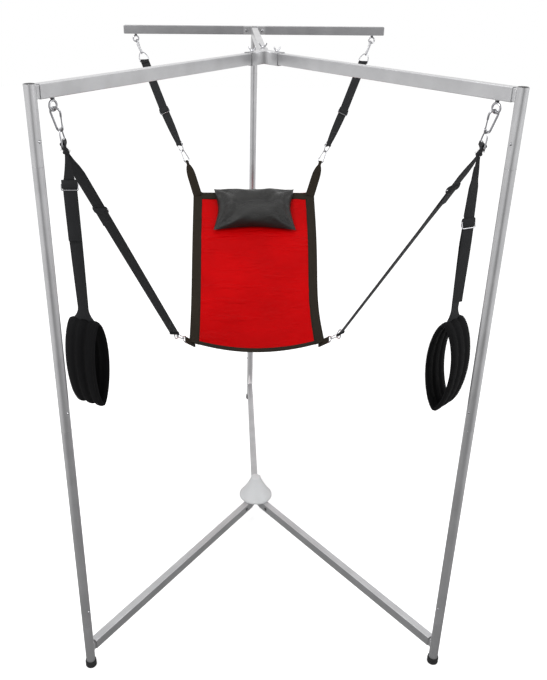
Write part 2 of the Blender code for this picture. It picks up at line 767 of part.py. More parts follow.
def build_bottom_rail(name, arm, end):
    """Build a bottom rail with the cross bolt that pins it to the bottom hub's stub."""
    bore = RAIL_CORNER - RAIL_WALL / 2
    outer = [(LOW_RAIL_START, RAIL_WIDTH, RAIL_HEIGHT), (end, RAIL_WIDTH, RAIL_HEIGHT)]
    inner = [(x, RAIL_BORE_WIDTH, RAIL_BORE_HEIGHT, bore) for x in (LOW_RAIL_START, end)]
    bolt = bolt_across(LOW_BOLT_RADIUS, LOW_BOLT_HEAD_RADIUS, LOW_BOLT_HEAD, RAIL_WIDTH / 2 - 2 * GAP)
    across = Matrix.Translation((LOW_BOLT_DISTANCE, 0.0, 0.0))
    mesh = joined([(hollow_bar(outer, inner), Matrix()), (bolt, across)])
    level = Matrix.Translation((0.0, 0.0, BOTTOM_RAIL_HEIGHT))
    return add_part(f"bottom_rail_{name}", mesh, "steel", level, arm)


def build_top_hub(hub, arms):
    """Build the top hub: three welded sleeves that take the top rails."""
    blocks = []
    for angle in ARM_ANGLES.values():
        sleeve = solid_bar(0.0, SLEEVE_LENGTH, SLEEVE_WIDTH, SLEEVE_HEIGHT)
        matrix = Matrix.Rotation(angle, 4, "Z")
        matrix.translation = (0.0, 0.0, TOP_RAIL_HEIGHT)
        blocks.append((sleeve, matrix))
    top_hub = add_part("top_hub", joined(blocks), "steel", parent=hub)
    for name, arm in arms.items():
        start = HUB_RAIL_START - GAP
        bore = solid_bar(start, SLEEVE_LENGTH + CUT_PAST, RAIL_WIDTH + 2 * GAP, RAIL_HEIGHT + 2 * GAP)
        level = Matrix.Translation((0.0, 0.0, TOP_RAIL_HEIGHT))
        add_boolean(top_hub, add_cutter(f"cut_sleeve_{name}", bore, level, arm))
        top = TOP_RAIL_HEIGHT + SLEEVE_HEIGHT
        hole = cylinder(WING_SHANK_RADIUS + BOLT_PLAY, TOP_RAIL_HEIGHT, top, HOLE_SIDES)
        matrix = Matrix.Translation((WING_DISTANCE, 0.0, 0.0))
        add_boolean(top_hub, add_cutter(f"cut_hub_wing_{name}", hole, matrix, arm))
    return top_hub


def build_wing_screw(name, arm):
    """Build a wing screw: shank down into the rail, boss and two raised wings."""
    seat = TOP_RAIL_HEIGHT + SLEEVE_HEIGHT / 2 + GAP
    body = turned([
        (0.0, WING_BOSS_HEIGHT), (WING_BOSS_RADIUS * 0.7, WING_BOSS_HEIGHT),
        (WING_BOSS_RADIUS, 0.0), (WING_SHANK_RADIUS, 0.0),
        (WING_SHANK_RADIUS, -WING_SHANK_LENGTH), (0.0, -WING_SHANK_LENGTH),
    ], SMALL_SIDES)
    outline = [
        (0.001, 0.0015), (WING_SPAN * 0.22, 0.002), (WING_SPAN * 0.42, WING_RISE * 0.55),
        (WING_SPAN * 0.5, WING_RISE * 0.9), (WING_SPAN * 0.42, WING_RISE), (WING_SPAN * 0.3, WING_RISE * 0.9),
        (0.001, WING_BOSS_HEIGHT * 0.9),
    ]
    stand = Matrix.Rotation(math.pi / 2, 4, "X")
    wings = [(body, Matrix())]
    for turn in (0.0, math.pi):
        wings.append((plate_mesh(outline, WING_THICKNESS), Matrix.Rotation(turn, 4, "Z") @ stand))
    matrix = Matrix.Translation((WING_DISTANCE, 0.0, seat)) @ Matrix.Rotation(math.pi / 2, 4, "Z")
    return add_part(f"wing_screw_{name}", joined(wings), "zinc", matrix, arm)


def build_bottom_hub(hub, arms):
    """Build the bottom hub: a post that holds the cover up and three stubs inside the rails."""
    low = BOTTOM_RAIL_HEIGHT - RAIL_HEIGHT / 2
    top = COVER_TOP - COVER_WALL - GAP
    blocks = [(cylinder(LOW_POST_RADIUS, low, top), Matrix())]
    for angle in ARM_ANGLES.values():
        stub = solid_bar(0.0, LOW_STUB_REACH, STUB_WIDTH, STUB_HEIGHT, RAIL_CORNER - RAIL_WALL / 2)
        matrix = Matrix.Rotation(angle, 4, "Z")
        matrix.translation = (0.0, 0.0, BOTTOM_RAIL_HEIGHT)
        blocks.append((stub, matrix))
    bottom_hub = add_part("bottom_hub", joined(blocks), "steel", parent=hub)
    for name, arm in arms.items():
        inner_width = STUB_WIDTH - 2 * STUB_WALL
        inner_height = STUB_HEIGHT - 2 * STUB_WALL
        bore = solid_bar(LOW_RAIL_START, LOW_STUB_REACH + CUT_PAST, inner_width, inner_height, BORE_CORNER, 1)
        level = Matrix.Translation((0.0, 0.0, BOTTOM_RAIL_HEIGHT))
        add_boolean(bottom_hub, add_cutter(f"cut_low_stub_{name}", bore, level, arm))
        hole = cylinder(LOW_BOLT_RADIUS + BOLT_PLAY, -RAIL_WIDTH, RAIL_WIDTH, HOLE_SIDES)
        matrix = Matrix.Translation((LOW_BOLT_DISTANCE, 0.0, BOTTOM_RAIL_HEIGHT))
        matrix = matrix @ Matrix.Rotation(math.pi / 2, 4, "X")
        add_boolean(bottom_hub, add_cutter(f"cut_low_bolt_{name}", hole, matrix, arm))
    return bottom_hub


def build_cover(hub):
    """Build the conical cover, an open shell whose rim stands on the bottom rails."""
    rim = BOTTOM_RAIL_HEIGHT + RAIL_HEIGHT / 2 + GAP
    shoulder = COVER_TOP - 0.012
    outer = [
        (0.0, COVER_TOP), (COVER_TOP_RADIUS * 0.72, COVER_TOP), (COVER_TOP_RADIUS * 0.93, COVER_TOP - 0.004),
        (COVER_TOP_RADIUS, shoulder),
    ]
    steps = 3
    for i in range(1, steps):
        share = i / steps
        bow = 0.004 * math.sin(math.pi * share)
        radius = COVER_TOP_RADIUS + (COVER_RIM_RADIUS - COVER_TOP_RADIUS) * share - bow
        outer.append((radius, shoulder + (rim + COVER_SKIRT - shoulder) * share))
    outer += [(COVER_RIM_RADIUS, rim + COVER_SKIRT), (COVER_RIM_RADIUS, rim)]
    inner = [(radius - COVER_WALL, height) for radius, height in outer[3:]]
    profile = outer + inner[::-1] + [(0.0, COVER_TOP - COVER_WALL)]
    profile[len(outer) + len(inner) - 1] = (COVER_TOP_RADIUS - 1.4 * COVER_WALL, COVER_TOP - COVER_WALL)
    return add_part("hub_cover", turned(profile, COVER_SIDES), "cover", parent=hub)


def build_crossbar_half(side_name, hub):
    """Build one half of the crossbar: tube, capped outer end, spigot and its two-ended bolt."""
    side = SIDES[side_name]
    seam = CROSS_SOCKET_HALF + GAP
    cap = CROSS_HALF_LENGTH - CROSS_CAP
    spigot_width = RAIL_BORE_WIDTH - 2 * GAP
    spigot_height = RAIL_BORE_HEIGHT - 2 * GAP
    spigot_corner = RAIL_CORNER - RAIL_WALL / 2
    bore_width = spigot_width - 2 * STUB_WALL
    bore_height = spigot_height - 2 * STUB_WALL
    rings = [
        section_ring(GAP * 2, spigot_width, spigot_height, spigot_corner),
        section_ring(seam, spigot_width, spigot_height, spigot_corner),
        section_ring(seam, RAIL_WIDTH, RAIL_HEIGHT),
        section_ring(cap, RAIL_WIDTH, RAIL_HEIGHT),
        section_ring(CROSS_HALF_LENGTH, RAIL_WIDTH - 2 * RAIL_WALL, RAIL_HEIGHT - 2 * RAIL_WALL),
        section_ring(cap, RAIL_BORE_WIDTH, RAIL_BORE_HEIGHT),
        section_ring(seam + SHOULDER, RAIL_BORE_WIDTH, RAIL_BORE_HEIGHT),
        section_ring(seam, bore_width, bore_height, BORE_CORNER),
    ]
    outer = loft(rings[:5])
    hollow = loft(rings[5:8] + [section_ring(-CUT_PAST, bore_width, bore_height, BORE_CORNER)])
    bolt = bolt_across(CROSS_BOLT_RADIUS, CROSS_BOLT_HEAD_RADIUS, CROSS_BOLT_HEAD, RAIL_WIDTH / 2)
    shell = temporary(outer)
    core = temporary(hollow)
    add_boolean(shell, core)
    mesh = evaluated_mesh(shell, weld=False)
    bpy.data.objects.remove(core, do_unlink=True)
    mesh = joined([(mesh, Matrix()), (bolt, Matrix.Translation((CROSS_BOLT_DISTANCE, 0.0, 0.0)))])
    matrix = Matrix.Translation((0.0, CROSS_Y, CROSS_HEIGHT))
    if side < 0.0:
        matrix = matrix @ Matrix.Rotation(math.pi, 4, "Z")
    bar = add_part(f"crossbar_{side_name}", mesh, "steel", matrix, hub)
    low = CROSS_HEIGHT - RAIL_HEIGHT
    hole = cylinder(EYE_SHANK_RADIUS + BOLT_PLAY, low, CROSS_HEIGHT, HOLE_SIDES)
    place_hole = Matrix.Translation((side * EYE_REAR_X, CROSS_Y, 0.0))
    add_boolean(bar, add_cutter(f"cut_eye_cross_{side_name}", hole, place_hole, hub))
    return bar


def cut_cross_bolts(head, hub):
    """Cut the crossbar bolts' holes through the rear socket."""
    for side_name, side in SIDES.items():
        hole = cylinder(CROSS_BOLT_RADIUS + BOLT_PLAY, -RAIL_WIDTH, RAIL_WIDTH, HOLE_SIDES)
        matrix = Matrix.Translation((side * CROSS_BOLT_DISTANCE, CROSS_Y, CROSS_HEIGHT))
        matrix = matrix @ Matrix.Rotation(math.pi / 2, 4, "X")
        add_boolean(head, add_cutter(f"cut_cross_bolt_{side_name}", hole, matrix, hub))


def build_eye_bolt(name, under, facing):
    """Build an eye bolt under a rail: shank, collar, neck and ring whose axis faces a direction."""
    shank = turned([
        (0.0, EYE_SHANK_LENGTH), (EYE_SHANK_RADIUS, EYE_SHANK_LENGTH), (EYE_SHANK_RADIUS, -GAP),
        (EYE_COLLAR_RADIUS, -GAP), (EYE_COLLAR_RADIUS, -GAP - EYE_COLLAR),
        (EYE_SHANK_RADIUS, -GAP - 2 * EYE_COLLAR), (EYE_SHANK_RADIUS, -EYE_DROP + EYE_RADIUS),
        (0.0, -EYE_DROP + EYE_RADIUS),
    ], SMALL_SIDES)
    circle = []
    for i in range(EYE_SIDES):
        angle = math.tau * i / EYE_SIDES
        circle.append(Vector((EYE_RADIUS * math.cos(angle), 0.0, EYE_RADIUS * math.sin(angle) - EYE_DROP)))
    ring = wire_mesh(circle, EYE_WIRE, cyclic=True)
    mesh = joined([(shank, Matrix()), (ring, Matrix())])
    matrix = frame_matrix(under, UP, facing.cross(UP))
    return add_part(f"eye_bolt_{name}", mesh, "zinc", matrix)


def eye_facing(name):
    """Return the level direction that an eye's ring axis points in."""
    if name.startswith("front"):
        angle = ARM_ANGLES[name.split("_")[1]]
        return Vector((-math.sin(angle), math.cos(angle), 0.0))
    side = SIDES[name.split("_")[1]]
    return azimuth(side * EYE_REAR_TURN)


def eye_centre(name):
    """Return the centre of an eye bolt's ring, in world coordinates."""
    if name.startswith("front"):
        angle = ARM_ANGLES[name.split("_")[1]]
        x = EYE_FRONT_DISTANCE * math.cos(angle)
        y = EYE_FRONT_DISTANCE * math.sin(angle)
        under = TOP_RAIL_HEIGHT - RAIL_HEIGHT / 2
    else:
        x = SIDES[name.split("_")[1]] * EYE_REAR_X
        y = CROSS_Y
        under = CROSS_HEIGHT - RAIL_HEIGHT / 2
    return Vector((x, y + HUB_Y, under - EYE_DROP))


def eye_seat(name, target):
    """Return where a hook's bow rests inside an eye's ring when it pulls towards a target."""
    centre = eye_centre(name)
    facing = eye_facing(name)
    pull = target - centre
    pull = (pull - facing * pull.dot(facing)).normalized()
    wire = centre + pull * (EYE_RADIUS * math.cos(math.pi / EYE_SIDES))
    return wire - (target - wire).normalized() * (EYE_WIRE + HOOK_WIRE + GAP)


def build_eye_bolts():
    """Build the four eye bolts."""
    for name in ("front_left", "front_right", "rear_left", "rear_right"):
        build_eye_bolt(name, eye_centre(name) + UP * EYE_DROP, eye_facing(name))


def build_hook(name, top, down, across, scale=1.0, gate=False):
    """Build a snap hook hanging from top along down, with its plane along across."""
    points = hook_points(scale)
    matrix = frame_matrix(top, -down, across)
    wire = HOOK_WIRE * scale
    if not gate:
        return add_part(name, wire_mesh(points, wire, cyclic=True), "zinc", matrix)
    return build_gated_hook(name, points, matrix)


def side_run(points):
    """Return the two ends of a hook's straight run on its -X side, upper end first."""
    half = (len(points) - 2) // 2
    return points[half], points[half + 1]


def gate_mesh(reach):
    """Return a gate's wire from its pivot at the origin along reach, its lower end rounded."""
    matrix = frame_matrix(Vector(), reach, Vector((0.0, 1.0, 0.0)))
    turns = [math.radians(turn) for turn in GATE_END_TURNS]
    profile = [(GATE_WIRE * math.cos(turn), -GATE_WIRE * math.sin(turn)) for turn in turns]
    profile += [(GATE_WIRE, 0.0), (GATE_WIRE, reach.length)]
    angles = [math.tau * i / GATE_SIDES for i in range(GATE_SIDES)]
    rings = []
    for radius, height in profile:
        rings.append([matrix @ Vector((radius * math.cos(a), radius * math.sin(a), height)) for a in angles])
    return loft(rings)


def build_gated_hook(name, points, matrix):
    """Build a hook whose straight -X side is opened, and the gate that closes it."""
    upper, lower = side_run(points)
    direction = (lower - upper).normalized()
    run = (lower - upper).length
    start = upper + direction * (run * GATE_START - GATE_WIRE)
    stop = upper + direction * (run * GATE_START + GATE_LENGTH)
    half = (len(points) - 2) // 2
    path = [stop] + points[half + 1:] + points[:half + 1] + [start]
    body = add_part(name, wire_mesh(path, HOOK_WIRE), "zinc", matrix)
    pivot = stop - direction * (GATE_WIRE + 2 * GAP)
    nose = start + direction * 2 * GAP
    gate_name = name.replace("snap_hook", "hook_gate")
    gate_matrix = matrix @ Matrix.Translation(pivot)
    add_part(gate_name, gate_mesh(nose - pivot), "zinc", gate_matrix)
    return body


def hook_end(top, down, scale=1.0):
    """Return the inner bottom of a hook: where the wire of the ring it carries lies."""
    return top + down.normalized() * (HOOK_LENGTH * scale - 2 * HOOK_WIRE * scale)


def front_hook_axis(side_name):
    """Return the top of a front hook, its hanging direction and its plane's direction."""
    side = SIDES[side_name]
    top = eye_seat(f"front_{side_name}", place(FORK, side))
    down = place(FORK, side) - top
    return top, down.normalized(), azimuth(side * HOOK_PLANES["front"])


def rear_hook_axis(side_name):
    """Return the top of a rear hook, its hanging direction and its plane's direction."""
    side = SIDES[side_name]
    top = eye_seat(f"rear_{side_name}", place(HEAD_SLIDE, side))
    down = place(HEAD_SLIDE, side) - top
    return top, down.normalized(), azimuth(side * HOOK_PLANES["rear"])


def slide_block(point, tangent, across):
    """Return the webbing folded through a slide adjuster, with its wire frame's bar in front."""
    matrix = frame_matrix(point, tangent, across)
    if matrix.col[1].y > 0.0:
        matrix = frame_matrix(point, tangent, -across)
    width = WEB_WIDTH + 2 * SLIDE_MARGIN
    fold = []
    for share, thick in SLIDE_SECTIONS:
        height = SLIDE_THICKNESS * thick
        ring = rounded_rectangle(width, height, height * 0.45, 1)
        fold.append([Vector((x, y, SLIDE_LENGTH * share)) for x, y in ring])
    block = loft(fold)
    reach = width / 2 + SLIDE_WIRE / 2
    rise = SLIDE_LENGTH * SLIDE_FRAME_ABOVE
    drop = SLIDE_LENGTH * SLIDE_FRAME_BELOW
    corners = ((reach, 0.0, -drop), (reach, SLIDE_FRAME_LIFT, rise))
    corners += tuple((-x, y, z) for x, y, z in reversed(corners))
    frame = wire_mesh([Vector(corner) for corner in corners], SLIDE_WIRE, cyclic=True)
    return [(block, matrix), (frame, matrix.copy())]


def d_ring(top, down, across, width=WEB_WIDTH + 2 * RING_MARGIN, length=RING_LENGTH):
    """Return a D-shaped ring hanging from top along down, as a mesh and its matrix."""
    return wire_mesh(ring_points(width, length), RING_WIRE, cyclic=True), frame_matrix(top, -down, across)


def build_head_strap(side_name):
    """Build a head strap: upper ring, webbing with its slide adjuster, lower ring."""
    side = SIDES[side_name]
    hook_top, hook_down, _ = rear_hook_axis(side_name)
    upper_turn, lower_turn = (side * turn for turn in HEAD_STRAP_TURNS)
    slide = place(HEAD_SLIDE, side)
    end = place(HEAD_END, side)
    ring_top = hook_end(hook_top, hook_down) - hook_down * (HOOK_WIRE + RING_WIRE + GAP)
    ring_down = (slide - ring_top).normalized()
    bar = ring_top + ring_down * (RING_LENGTH - RING_SEWN)
    middle_turn = (upper_turn + lower_turn) / 2
    points = spread(bar, slide, 5) + spread(slide, end, 5)[1:]
    pieces = [(ribbon(points, turn_between(upper_turn, lower_turn, 9)), Matrix())]
    pieces.append(d_ring(ring_top, ring_down, azimuth(upper_turn)))
    pieces += slide_block(slide, (slide - end).normalized(), azimuth(middle_turn))
    low_down = low_direction(side)
    low_bow = end + low_down * (LOW_RING_LENGTH - 2 * RING_WIRE)
    pieces.append(d_ring(low_bow, -low_down, azimuth(lower_turn), length=LOW_RING_LENGTH))
    return add_part(f"head_strap_{side_name}", joined(pieces), "webbing")


def low_direction(side):
    """Return the direction in which a head strap's lower ring and hook hang."""
    return (place(LOOP_TOP, side) - place(HEAD_END, side)).normalized()


def low_hook_axis(side_name):
    """Return the foot of a lower hook's wide bow, its upward direction and its plane's direction."""
    side = SIDES[side_name]
    down = low_direction(side)
    low_bow = place(HEAD_END, side) + down * (LOW_RING_LENGTH - 2 * RING_WIRE)
    wire = HOOK_WIRE * LOW_HOOK_SCALE
    top = low_bow - down * (RING_WIRE + wire + GAP)
    foot = top + down * (HOOK_LENGTH * LOW_HOOK_SCALE - 2 * wire)
    return foot, -down, Vector((1.0, 0.0, 0.0))


def loop_end(side_name):
    """Return the outer end of the seat's hanging loop, round the lower hook's wire."""
    foot, up, _ = low_hook_axis(side_name)
    return foot + up * LOOP_BEND


def build_front_strap(side_name):
    """Build a front strap: ring, sewn fork and the strap to the seat with its adjuster."""
    side = SIDES[side_name]
    hook_top, hook_down, _ = front_hook_axis(side_name)
    fork = place(FORK, side)
    corner = strap_end(side)
    along = azimuth(0.0)
    ring_top = hook_end(hook_top, hook_down) - hook_down * (HOOK_WIRE + RING_WIRE + GAP)
    ring_down = (fork - ring_top).normalized()
    bar = ring_top + ring_down * (RING_LENGTH - RING_SEWN)
    neck = ribbon(spread(bar, fork, 5), turn_between(0.0, side * FORK_TURN, 5))
    reach = WEB_WIDTH / 2 + FORK_MARGIN
    roll = cylinder(FORK_RADIUS, -reach, reach, HOLE_SIDES)
    roll_matrix = frame_matrix(fork, Vector((1.0, 0.0, 0.0)), UP)
    first, last = FRONT_STRAP_TURNS
    strap = ribbon(spread(fork, corner, 9), turn_between(side * first, side * last, 9))
    pieces = [(neck, Matrix()), d_ring(ring_top, ring_down, along), (roll, roll_matrix), (strap, Matrix())]
    share = STRAP_SLIDE_SHARE[side_name]
    slide_turn = azimuth(side * (first + (last - first) * share))
    pieces += slide_block(fork.lerp(corner, share), (fork - corner).normalized(), slide_turn)
    bow, pull, across = strap_ring_axis(side)
    pieces.append(d_ring(bow, pull, across, length=END_RING_LENGTH))
    return add_part(f"front_strap_{side_name}", joined(pieces), "webbing")


def seat_corner(side):
    """Return a seat corner, the direction its tab pulls in and the tab's width direction."""
    top, down, normal, length = seat_axes()
    corner = top + down * length + Vector((side * SEAT_HALF_WIDTH, 0.0, 0.0))
    pull = (place(CORNER_RING, side) - corner).normalized()
    return corner, pull, pull.cross(normal).normalized()


def tab_ring_bow(side):
    """Return the outer bow of a seat tab's ring."""
    corner, pull, _ = seat_corner(side)
    return corner + pull * (TAB_REACH + TAB_RING_LENGTH - 2 * RING_WIRE)


def corner_hook_axis(side_name):
    """Return the outer end of a seat corner's hook, its direction and its plane's direction."""
    side = SIDES[side_name]
    _, pull, across = seat_corner(side)
    wire = HOOK_WIRE * CORNER_HOOK_SCALE
    foot = tab_ring_bow(side) - pull * (RING_WIRE + wire + GAP)
    top = foot + pull * (HOOK_LENGTH * CORNER_HOOK_SCALE - 2 * wire)
    return top, -pull, pull.cross(across)


def strap_ring_axis(side):
    """Return the bow of a front strap's end ring, the way it runs and its width direction."""
    side_name = "left" if side < 0.0 else "right"
    top, down, _ = corner_hook_axis(side_name)
    _, _, across = seat_corner(side)
    wire = HOOK_WIRE * CORNER_HOOK_SCALE
    bow = top + down * (RING_WIRE + wire + GAP + LINK_SLACK)
    return bow, -down, across


def strap_end(side):
    """Return the place where a front strap meets the bar of its end ring."""
    bow, pull, _ = strap_ring_axis(side)
    return bow + pull * (END_RING_LENGTH - RING_SEWN)


def teardrop(count):
    """Return a leg loop's upright centreline as (across, height) pairs, its top at zero height."""
    half_width = STIRRUP_HALF_WIDTH - STIRRUP_PAD / 2
    half_height = STIRRUP_HALF_HEIGHT - STIRRUP_PAD / 2
    points = []
    for i in range(count):
        angle = math.tau * (i + 0.5) / count
        taper = 1.0 + 0.12 * math.cos(angle)
        points.append((half_width * math.sin(angle) * taper, half_height * (math.cos(angle) - 1.0)))
    return points


def pad_section(half_band, half_pad):
    """Return a channelled pad's section as (across, thickness) points."""
    steps = 2 * STIRRUP_CHANNELS
    outer = []
    inner = []
    for i in range(steps + 1):
        share = i / steps
        groove = abs(math.cos(math.pi * STIRRUP_CHANNELS * share))
        edge = math.sqrt(max(0.0, 1.0 - abs(2 * share - 1) ** 8))
        height = max((half_pad - STIRRUP_CHANNEL * groove) * edge, half_pad * 0.3)
        outer.append((half_band * (2 * share - 1), height))
        inner.append((half_band * (1 - 2 * share), -height * 0.8))
    return outer + inner


def strap_turn(side_name, share):
    """Return the azimuth of a leg loop strap's width at a share of its length."""
    stations = STIRRUP_TURNS[side_name]
    for (low, first), (high, last) in zip(stations, stations[1:]):
        if share <= high:
            return math.radians(first + (last - first) * (share - low) / (high - low))
    return math.radians(stations[-1][1])


def build_stirrup(side_name):
    """Build a leg loop: hanging strap, slide adjuster, loose tail and the channelled pad."""
    side = SIDES[side_name]
    fork = place(FORK, side)
    below = place(STIRRUP_PLACE, side)
    band = azimuth(STIRRUP_TURN[side_name])
    spread_dir = Vector((band.y, -band.x, 0.0))
    top_z = STIRRUP_TOP_Z
    path = teardrop(20)
    section = pad_section(STIRRUP_BAND / 2, STIRRUP_PAD / 2)
    rings = []
    for i, (across, height) in enumerate(path):
        before = path[i - 1]
        after = path[(i + 1) % len(path)]
        tangent = Vector((after[0] - before[0], after[1] - before[1])).normalized()
        outward = Vector((-tangent.y, tangent.x))
        centre = below + spread_dir * across + UP * (top_z - STIRRUP_PAD / 2 + height)
        ring = []
        for along, thick in section:
            ring.append(centre + band * along + (spread_dir * outward.x + UP * outward.y) * thick)
        rings.append(ring)
    pad = loft(rings, closed=True)
    start = fork - UP * (FORK_RADIUS + FORK_GAP)
    foot = Vector((below.x, below.y, top_z + 0.040))
    points = spread(start, foot, STIRRUP_STATIONS)
    across = [azimuth(strap_turn(side_name, i / (STIRRUP_STATIONS - 1))) for i in range(STIRRUP_STATIONS)]
    widths = [WEB_WIDTH] * STIRRUP_STATIONS
    points.append(Vector((below.x, below.y, top_z - STIRRUP_PAD / 2)))
    across.append(band)
    widths.append(STIRRUP_BAND * 0.8)
    strap = ribbon(points, across, widths=widths)
    slide_share = (start.z - STIRRUP_SLIDE_Z[side_name]) / (start.z - foot.z)
    slide = start.lerp(foot, slide_share)
    slide_across = azimuth(strap_turn(side_name, slide_share))
    pieces = [(pad, Matrix()), (strap, Matrix())]
    pieces += slide_block(slide, (start - foot).normalized(), slide_across)
    normal = UP.cross(slide_across)
    if normal.y > 0.0:
        normal = -normal
    tail_end = start.lerp(foot, (start.z - STIRRUP_TAIL_Z[side_name]) / (start.z - foot.z))
    tail_offset = normal * (WEB_THICKNESS + TAIL_GAP)
    tail = ribbon(spread(slide + tail_offset * 0.8, tail_end + tail_offset * 1.8, 4), [slide_across] * 4)
    pieces.append((tail, Matrix()))
    return add_part(f"stirrup_{side_name}", joined(pieces), "pad")


def band_loop(start, end, across, normal):
    """Return a closed webbing loop from start round the wire at end, narrowing towards it."""
    pull = (end - start).normalized()
    out = across.cross(pull).normalized()
    if out.dot(normal) < 0.0:
        out = -out
    length = (end - start).length
    stations = ((0.0, SEAT_BORDER), (0.35, SEAT_BORDER), (0.75, LOOP_NARROW))
    steps = 4
    path = [(share * length, 1.0, 0.0, width) for share, width in stations]
    for i in range(steps + 1):
        angle = math.pi * i / steps
        path.append((length + LOOP_BEND * math.sin(angle) - LOOP_BEND, math.cos(angle), angle, LOOP_NARROW))
    path += [(share * length, -1.0, math.pi, width) for share, width in reversed(stations)]
    rings = []
    for reach, rise, angle, width in path:
        centre = start + pull * reach + out * (rise * LOOP_BEND)
        outward = out * math.cos(angle) + pull * math.sin(angle)
        half = across * (width / 2)
        thick = outward * (LOOP_WEB / 2)
        near = centre - half
        far = centre + half
        rings.append([far + thick, far - thick, near - thick, near + thick])
    return loft(rings)


def seat_axes():
    """Return the seat panel's top centre, its downward direction and its upper normal."""
    top = place(SEAT_TOP)
    bottom = place(SEAT_BOTTOM)
    down = (bottom - top).normalized()
    normal = Vector((1.0, 0.0, 0.0)).cross(down).normalized()
    if normal.z < 0.0:
        normal = -normal
    return top, down, normal, (bottom - top).length


def seat_sag(across, along):
    """Return how far the seat hangs below its flat plane, for shares of its half width and length."""
    bow = (1.0 - across ** 2) * SEAT_SAG
    grow = max(0.0, (along - 0.30) / 0.70)
    fold = SEAT_FOLD * math.sin(9.0 * along + 3.0 * across) * math.sin(math.pi * min(1.0, grow))
    return bow * grow ** 1.6 + fold * (1.0 - across ** 4)


def build_seat():
    """Build the seat: sagging panel with raised borders, two hanging loops and two corner tabs."""
    top, down, normal, length = seat_axes()
    columns = 12
    rows = 14
    rings = []
    for j in range(rows + 1):
        along = j / rows
        upper = []
        lower = []
        for i in range(columns + 1):
            across = 2.0 * i / columns - 1.0
            x = across * SEAT_HALF_WIDTH
            reach = length * along + SEAT_TONGUE * along ** 6 * (1.0 - across ** 2)
            base = top + down * reach - normal * seat_sag(across, along)
            border = SEAT_HALF_WIDTH - abs(x) < SEAT_BORDER
            rise = SEAT_THICKNESS / 2 + (SEAT_BORDER_RAISE if border or j < 2 or j == rows else 0.0)
            point = base + Vector((x, 0.0, 0.0))
            upper.append(point + normal * rise)
            lower.append(point - normal * (SEAT_THICKNESS / 2))
        rings.append(upper + lower[::-1])
    pieces = [(loft(rings), Matrix())]
    for side_name, side in SIDES.items():
        corner = top + Vector((side * (SEAT_HALF_WIDTH - SEAT_BORDER / 2), 0.0, 0.0)) + down * 0.02
        across = Vector((1.0, 0.0, 0.0))
        pieces.append((band_loop(corner, loop_end(side_name), across, normal), Matrix()))
        pieces.append(corner_tab(side))
        _, pull, tab_across = seat_corner(side)
        pieces.append(d_ring(tab_ring_bow(side), -pull, tab_across, TAB_WIDTH, TAB_RING_LENGTH))
    return add_part("seat", joined(pieces), "seat")


def corner_tab(side):
    """Return a seat corner's folded webbing tab."""
    corner, pull, across = seat_corner(side)
    start = corner - pull * TAB_SEWN - Vector((side * 0.004, 0.0, 0.0))
    end = corner + pull * TAB_REACH
    return ribbon(spread(start, end, 3), [across] * 3, width=TAB_WIDTH, thickness=SEAT_THICKNESS), Matrix()


def build_pillow():
    """Build the head pillow: crowned, with pulled-out corners and drawn-in sides."""
    top, down, normal, _ = seat_axes()
    lift = SEAT_THICKNESS / 2 + SEAT_BORDER_RAISE + GAP
    across_axis = Vector((1.0, 0.0, 0.0))
    columns = 12
    rows = 8
    rings = []
    for i in range(columns + 1):
        u = 2.0 * i / columns - 1.0
        upper = []
        lower = []
        for j in range(rows + 1):
            v = 2.0 * j / rows - 1.0
            x = u * (PILLOW_WIDTH / 2 - PILLOW_DRAW * (1.0 - v ** 2) * abs(u) ** 3)
            y = v * (PILLOW_HEIGHT / 2 - PILLOW_DRAW * 0.7 * (1.0 - u ** 2) * abs(v) ** 3)
            puff = (max(0.0, 1.0 - u ** 4) * max(0.0, 1.0 - v ** 4)) ** 0.5
            edge = 0.0015 + PILLOW_THICKNESS * 0.16
            base = top + down * (PILLOW_HEIGHT / 2 + y) + across_axis * x
            upper.append(base + normal * (lift + edge + PILLOW_THICKNESS * 0.80 * puff))
            lower.append(base + normal * (lift + edge * (1.0 - puff)))
        rings.append(upper + lower[::-1])
    return add_part("pillow", smooth(loft(rings)), "pillow")


def build_sling():
    """Build the sling: hooks, straps, leg loops, seat and pillow."""
    for side_name in SIDES:
        top, down, across = front_hook_axis(side_name)
        build_hook(f"snap_hook_front_{side_name}", top, down, across, gate=True)
        top, down, across = rear_hook_axis(side_name)
        build_hook(f"snap_hook_rear_{side_name}", top, down, across)
        foot, up, across = low_hook_axis(side_name)
        build_hook(f"snap_hook_seat_top_{side_name}", foot, up, across, LOW_HOOK_SCALE)
        top, down, across = corner_hook_axis(side_name)
        build_hook(f"snap_hook_seat_corner_{side_name}", top, down, across, CORNER_HOOK_SCALE)
        build_head_strap(side_name)
        build_front_strap(side_name)
        build_stirrup(side_name)
    build_seat()
    build_pillow()


def build_stand():
    """Build the stand: legs, rails, hubs, cover, crossbar, feet, buttons and screws."""
    hub, arms, legs = build_arms()
    for name, arm in arms.items():
        leg = legs[name]
        side = BUTTON_SIDE[name]
        heights = [seam + BUTTON_RISE for seam in SEAM_HEIGHTS]
        holes = []
        for level, height in zip(("low", "middle", "high"), heights):
            holes.append(button_hole(f"button_{level}_{name}", leg, side, height))
            build_button(f"button_{level}_{name}", leg, side, height)
        build_leg_tubes(name, leg, holes)
        head = build_leg_head(name, leg, holes)
        if name == "rear":
            cut_cross_bolts(head, hub)
        build_leg_base(name, leg, holes)
        build_foot(name, leg)
        build_rails(name, arm)
        build_wing_screw(name, arm)
    build_top_hub(hub, arms)
    build_bottom_hub(hub, arms)
    build_cover(hub)
    for side_name in SIDES:
        build_crossbar_half(side_name, hub)
    build_eye_bolts()


clear_scene()
make_collection(PARTS)
make_collection(CUTTERS)
MATERIALS = make_materials()
build_stand()
build_sling()
bpy.context.view_layer.update()
